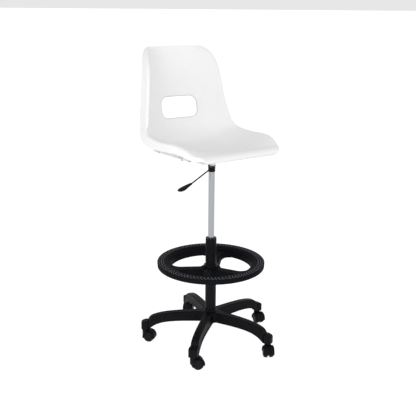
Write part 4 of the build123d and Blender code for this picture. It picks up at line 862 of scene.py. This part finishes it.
paddle = solid_piece("lever_paddle_moulding", [closed_sweep(loops)], "height_lever", rod_black, 35)
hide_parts("lever_paddle")

collar_line = rounded_line(
    [(14.05, 807.2), (15.5, 807.2), (15.9, 811), (16.0, 829), (17.4, 833), (17.4, 836.5), (14.05, 836.5)],
    [0.3, 0.6, 1, 2, 2, 0.8, 0.3], 5,
)
collar = solid_piece("lever_collar_moulding", [turned_shape(collar_line, 96)], "seat", collar_black, 35)
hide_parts("lever_collar")
nodes["rail_saddles"].data.materials[0] = cap_grey

# ==== camera, light and floor ====================================================================
VIEW_TURN = math.radians(36)
CAMERA_SPOT = (0.0, -3.0, 1.4987)
PITCH, YAW, ROLL = 0.279, -0.005, 0.008
forward = Vector((math.sin(YAW) * math.cos(PITCH), math.cos(YAW) * math.cos(PITCH), -math.sin(PITCH)))
level = Vector((math.cos(YAW), -math.sin(YAW), 0))
upward = level.cross(forward)
right = level * math.cos(ROLL) + upward * math.sin(ROLL)
upward = upward * math.cos(ROLL) - level * math.sin(ROLL)
basis = Matrix((right, upward, -forward)).transposed().to_4x4()
basis.translation = Vector(CAMERA_SPOT)
camera = bpy.data.objects.new("camera", bpy.data.cameras.new("camera"))
bpy.context.scene.collection.objects.link(camera)
camera.matrix_world = Matrix.Rotation(-VIEW_TURN, 4, "Z") @ basis
camera.data.sensor_width = 36.0
camera.data.lens = 60.34
bpy.context.scene.camera = camera

floor_mesh = bpy.data.meshes.new("floor")
floor_mesh.from_pydata([(-900, -900, 0), (900, -900, 0), (900, 900, 0), (-900, 900, 0)], [], [(0, 1, 2, 3)])
floor = bpy.data.objects.new("floor", floor_mesh)
bpy.context.scene.collection.objects.link(floor)
pale_floor = finish("pale_floor", (0.25, 0.25, 0.25), 0.9, specular=0.0)
pale_floor.node_tree.nodes["Principled BSDF"].inputs["Emission Color"].default_value = (1, 1, 1, 1)
pale_floor.node_tree.nodes["Principled BSDF"].inputs["Emission Strength"].default_value = 0.9
floor_mesh.materials.append(pale_floor)
floor.visible_diffuse = False

world = bpy.data.worlds.new("soft_studio")
bpy.context.scene.world = world
world.use_nodes = True
# the studio's light falls off from the horizon to straight above
sky = world.node_tree
direction = sky.nodes.new("ShaderNodeTexCoord")
parts = sky.nodes.new("ShaderNodeSeparateXYZ")
fall = sky.nodes.new("ShaderNodeMapRange")
fall.inputs["From Min"].default_value = 0.05
fall.inputs["From Max"].default_value = 0.9
fall.inputs["To Min"].default_value = 0.80
fall.inputs["To Max"].default_value = 0.68
sky.links.new(direction.outputs["Generated"], parts.inputs["Vector"])
sky.links.new(parts.outputs["Z"], fall.inputs["Value"])
sky.links.new(fall.outputs["Result"], sky.nodes["Background"].inputs["Strength"])
sky.nodes["Background"].inputs["Color"].default_value = (1, 1, 1, 1)


def soft_light(name, spot, target, width, power):
    """Square area light at a spot, facing a target."""
    lamp = bpy.data.lights.new(name, "AREA")
    lamp.shape = "SQUARE"
    lamp.size = width
    lamp.energy = power
    holder = bpy.data.objects.new(name, lamp)
    bpy.context.scene.collection.objects.link(holder)
    holder.location = spot
    holder.rotation_euler = (Vector(target) - Vector(spot)).to_track_quat("-Z", "Y").to_euler()


soft_light("left_light", (-3.4, -1.2, 2.4), (0, 0, 1.0), 2.4, 48)
soft_light("right_light", (1.6, -3.2, 2.0), (0, 0, 1.0), 2.4, 33)
soft_light("low_front_light", (-0.8, -3.6, 0.6), (0, 0, 1.0), 2.4, 6)
soft_light("floor_bounce", (-0.9, -0.5, 0.02), (-0.1, 0, 0.9), 0.8, 7)
bpy.data.objects["floor_bounce"].visible_camera = False
bpy.data.objects["floor_bounce"].visible_glossy = False

bpy.context.scene.view_settings.view_transform = "Standard"
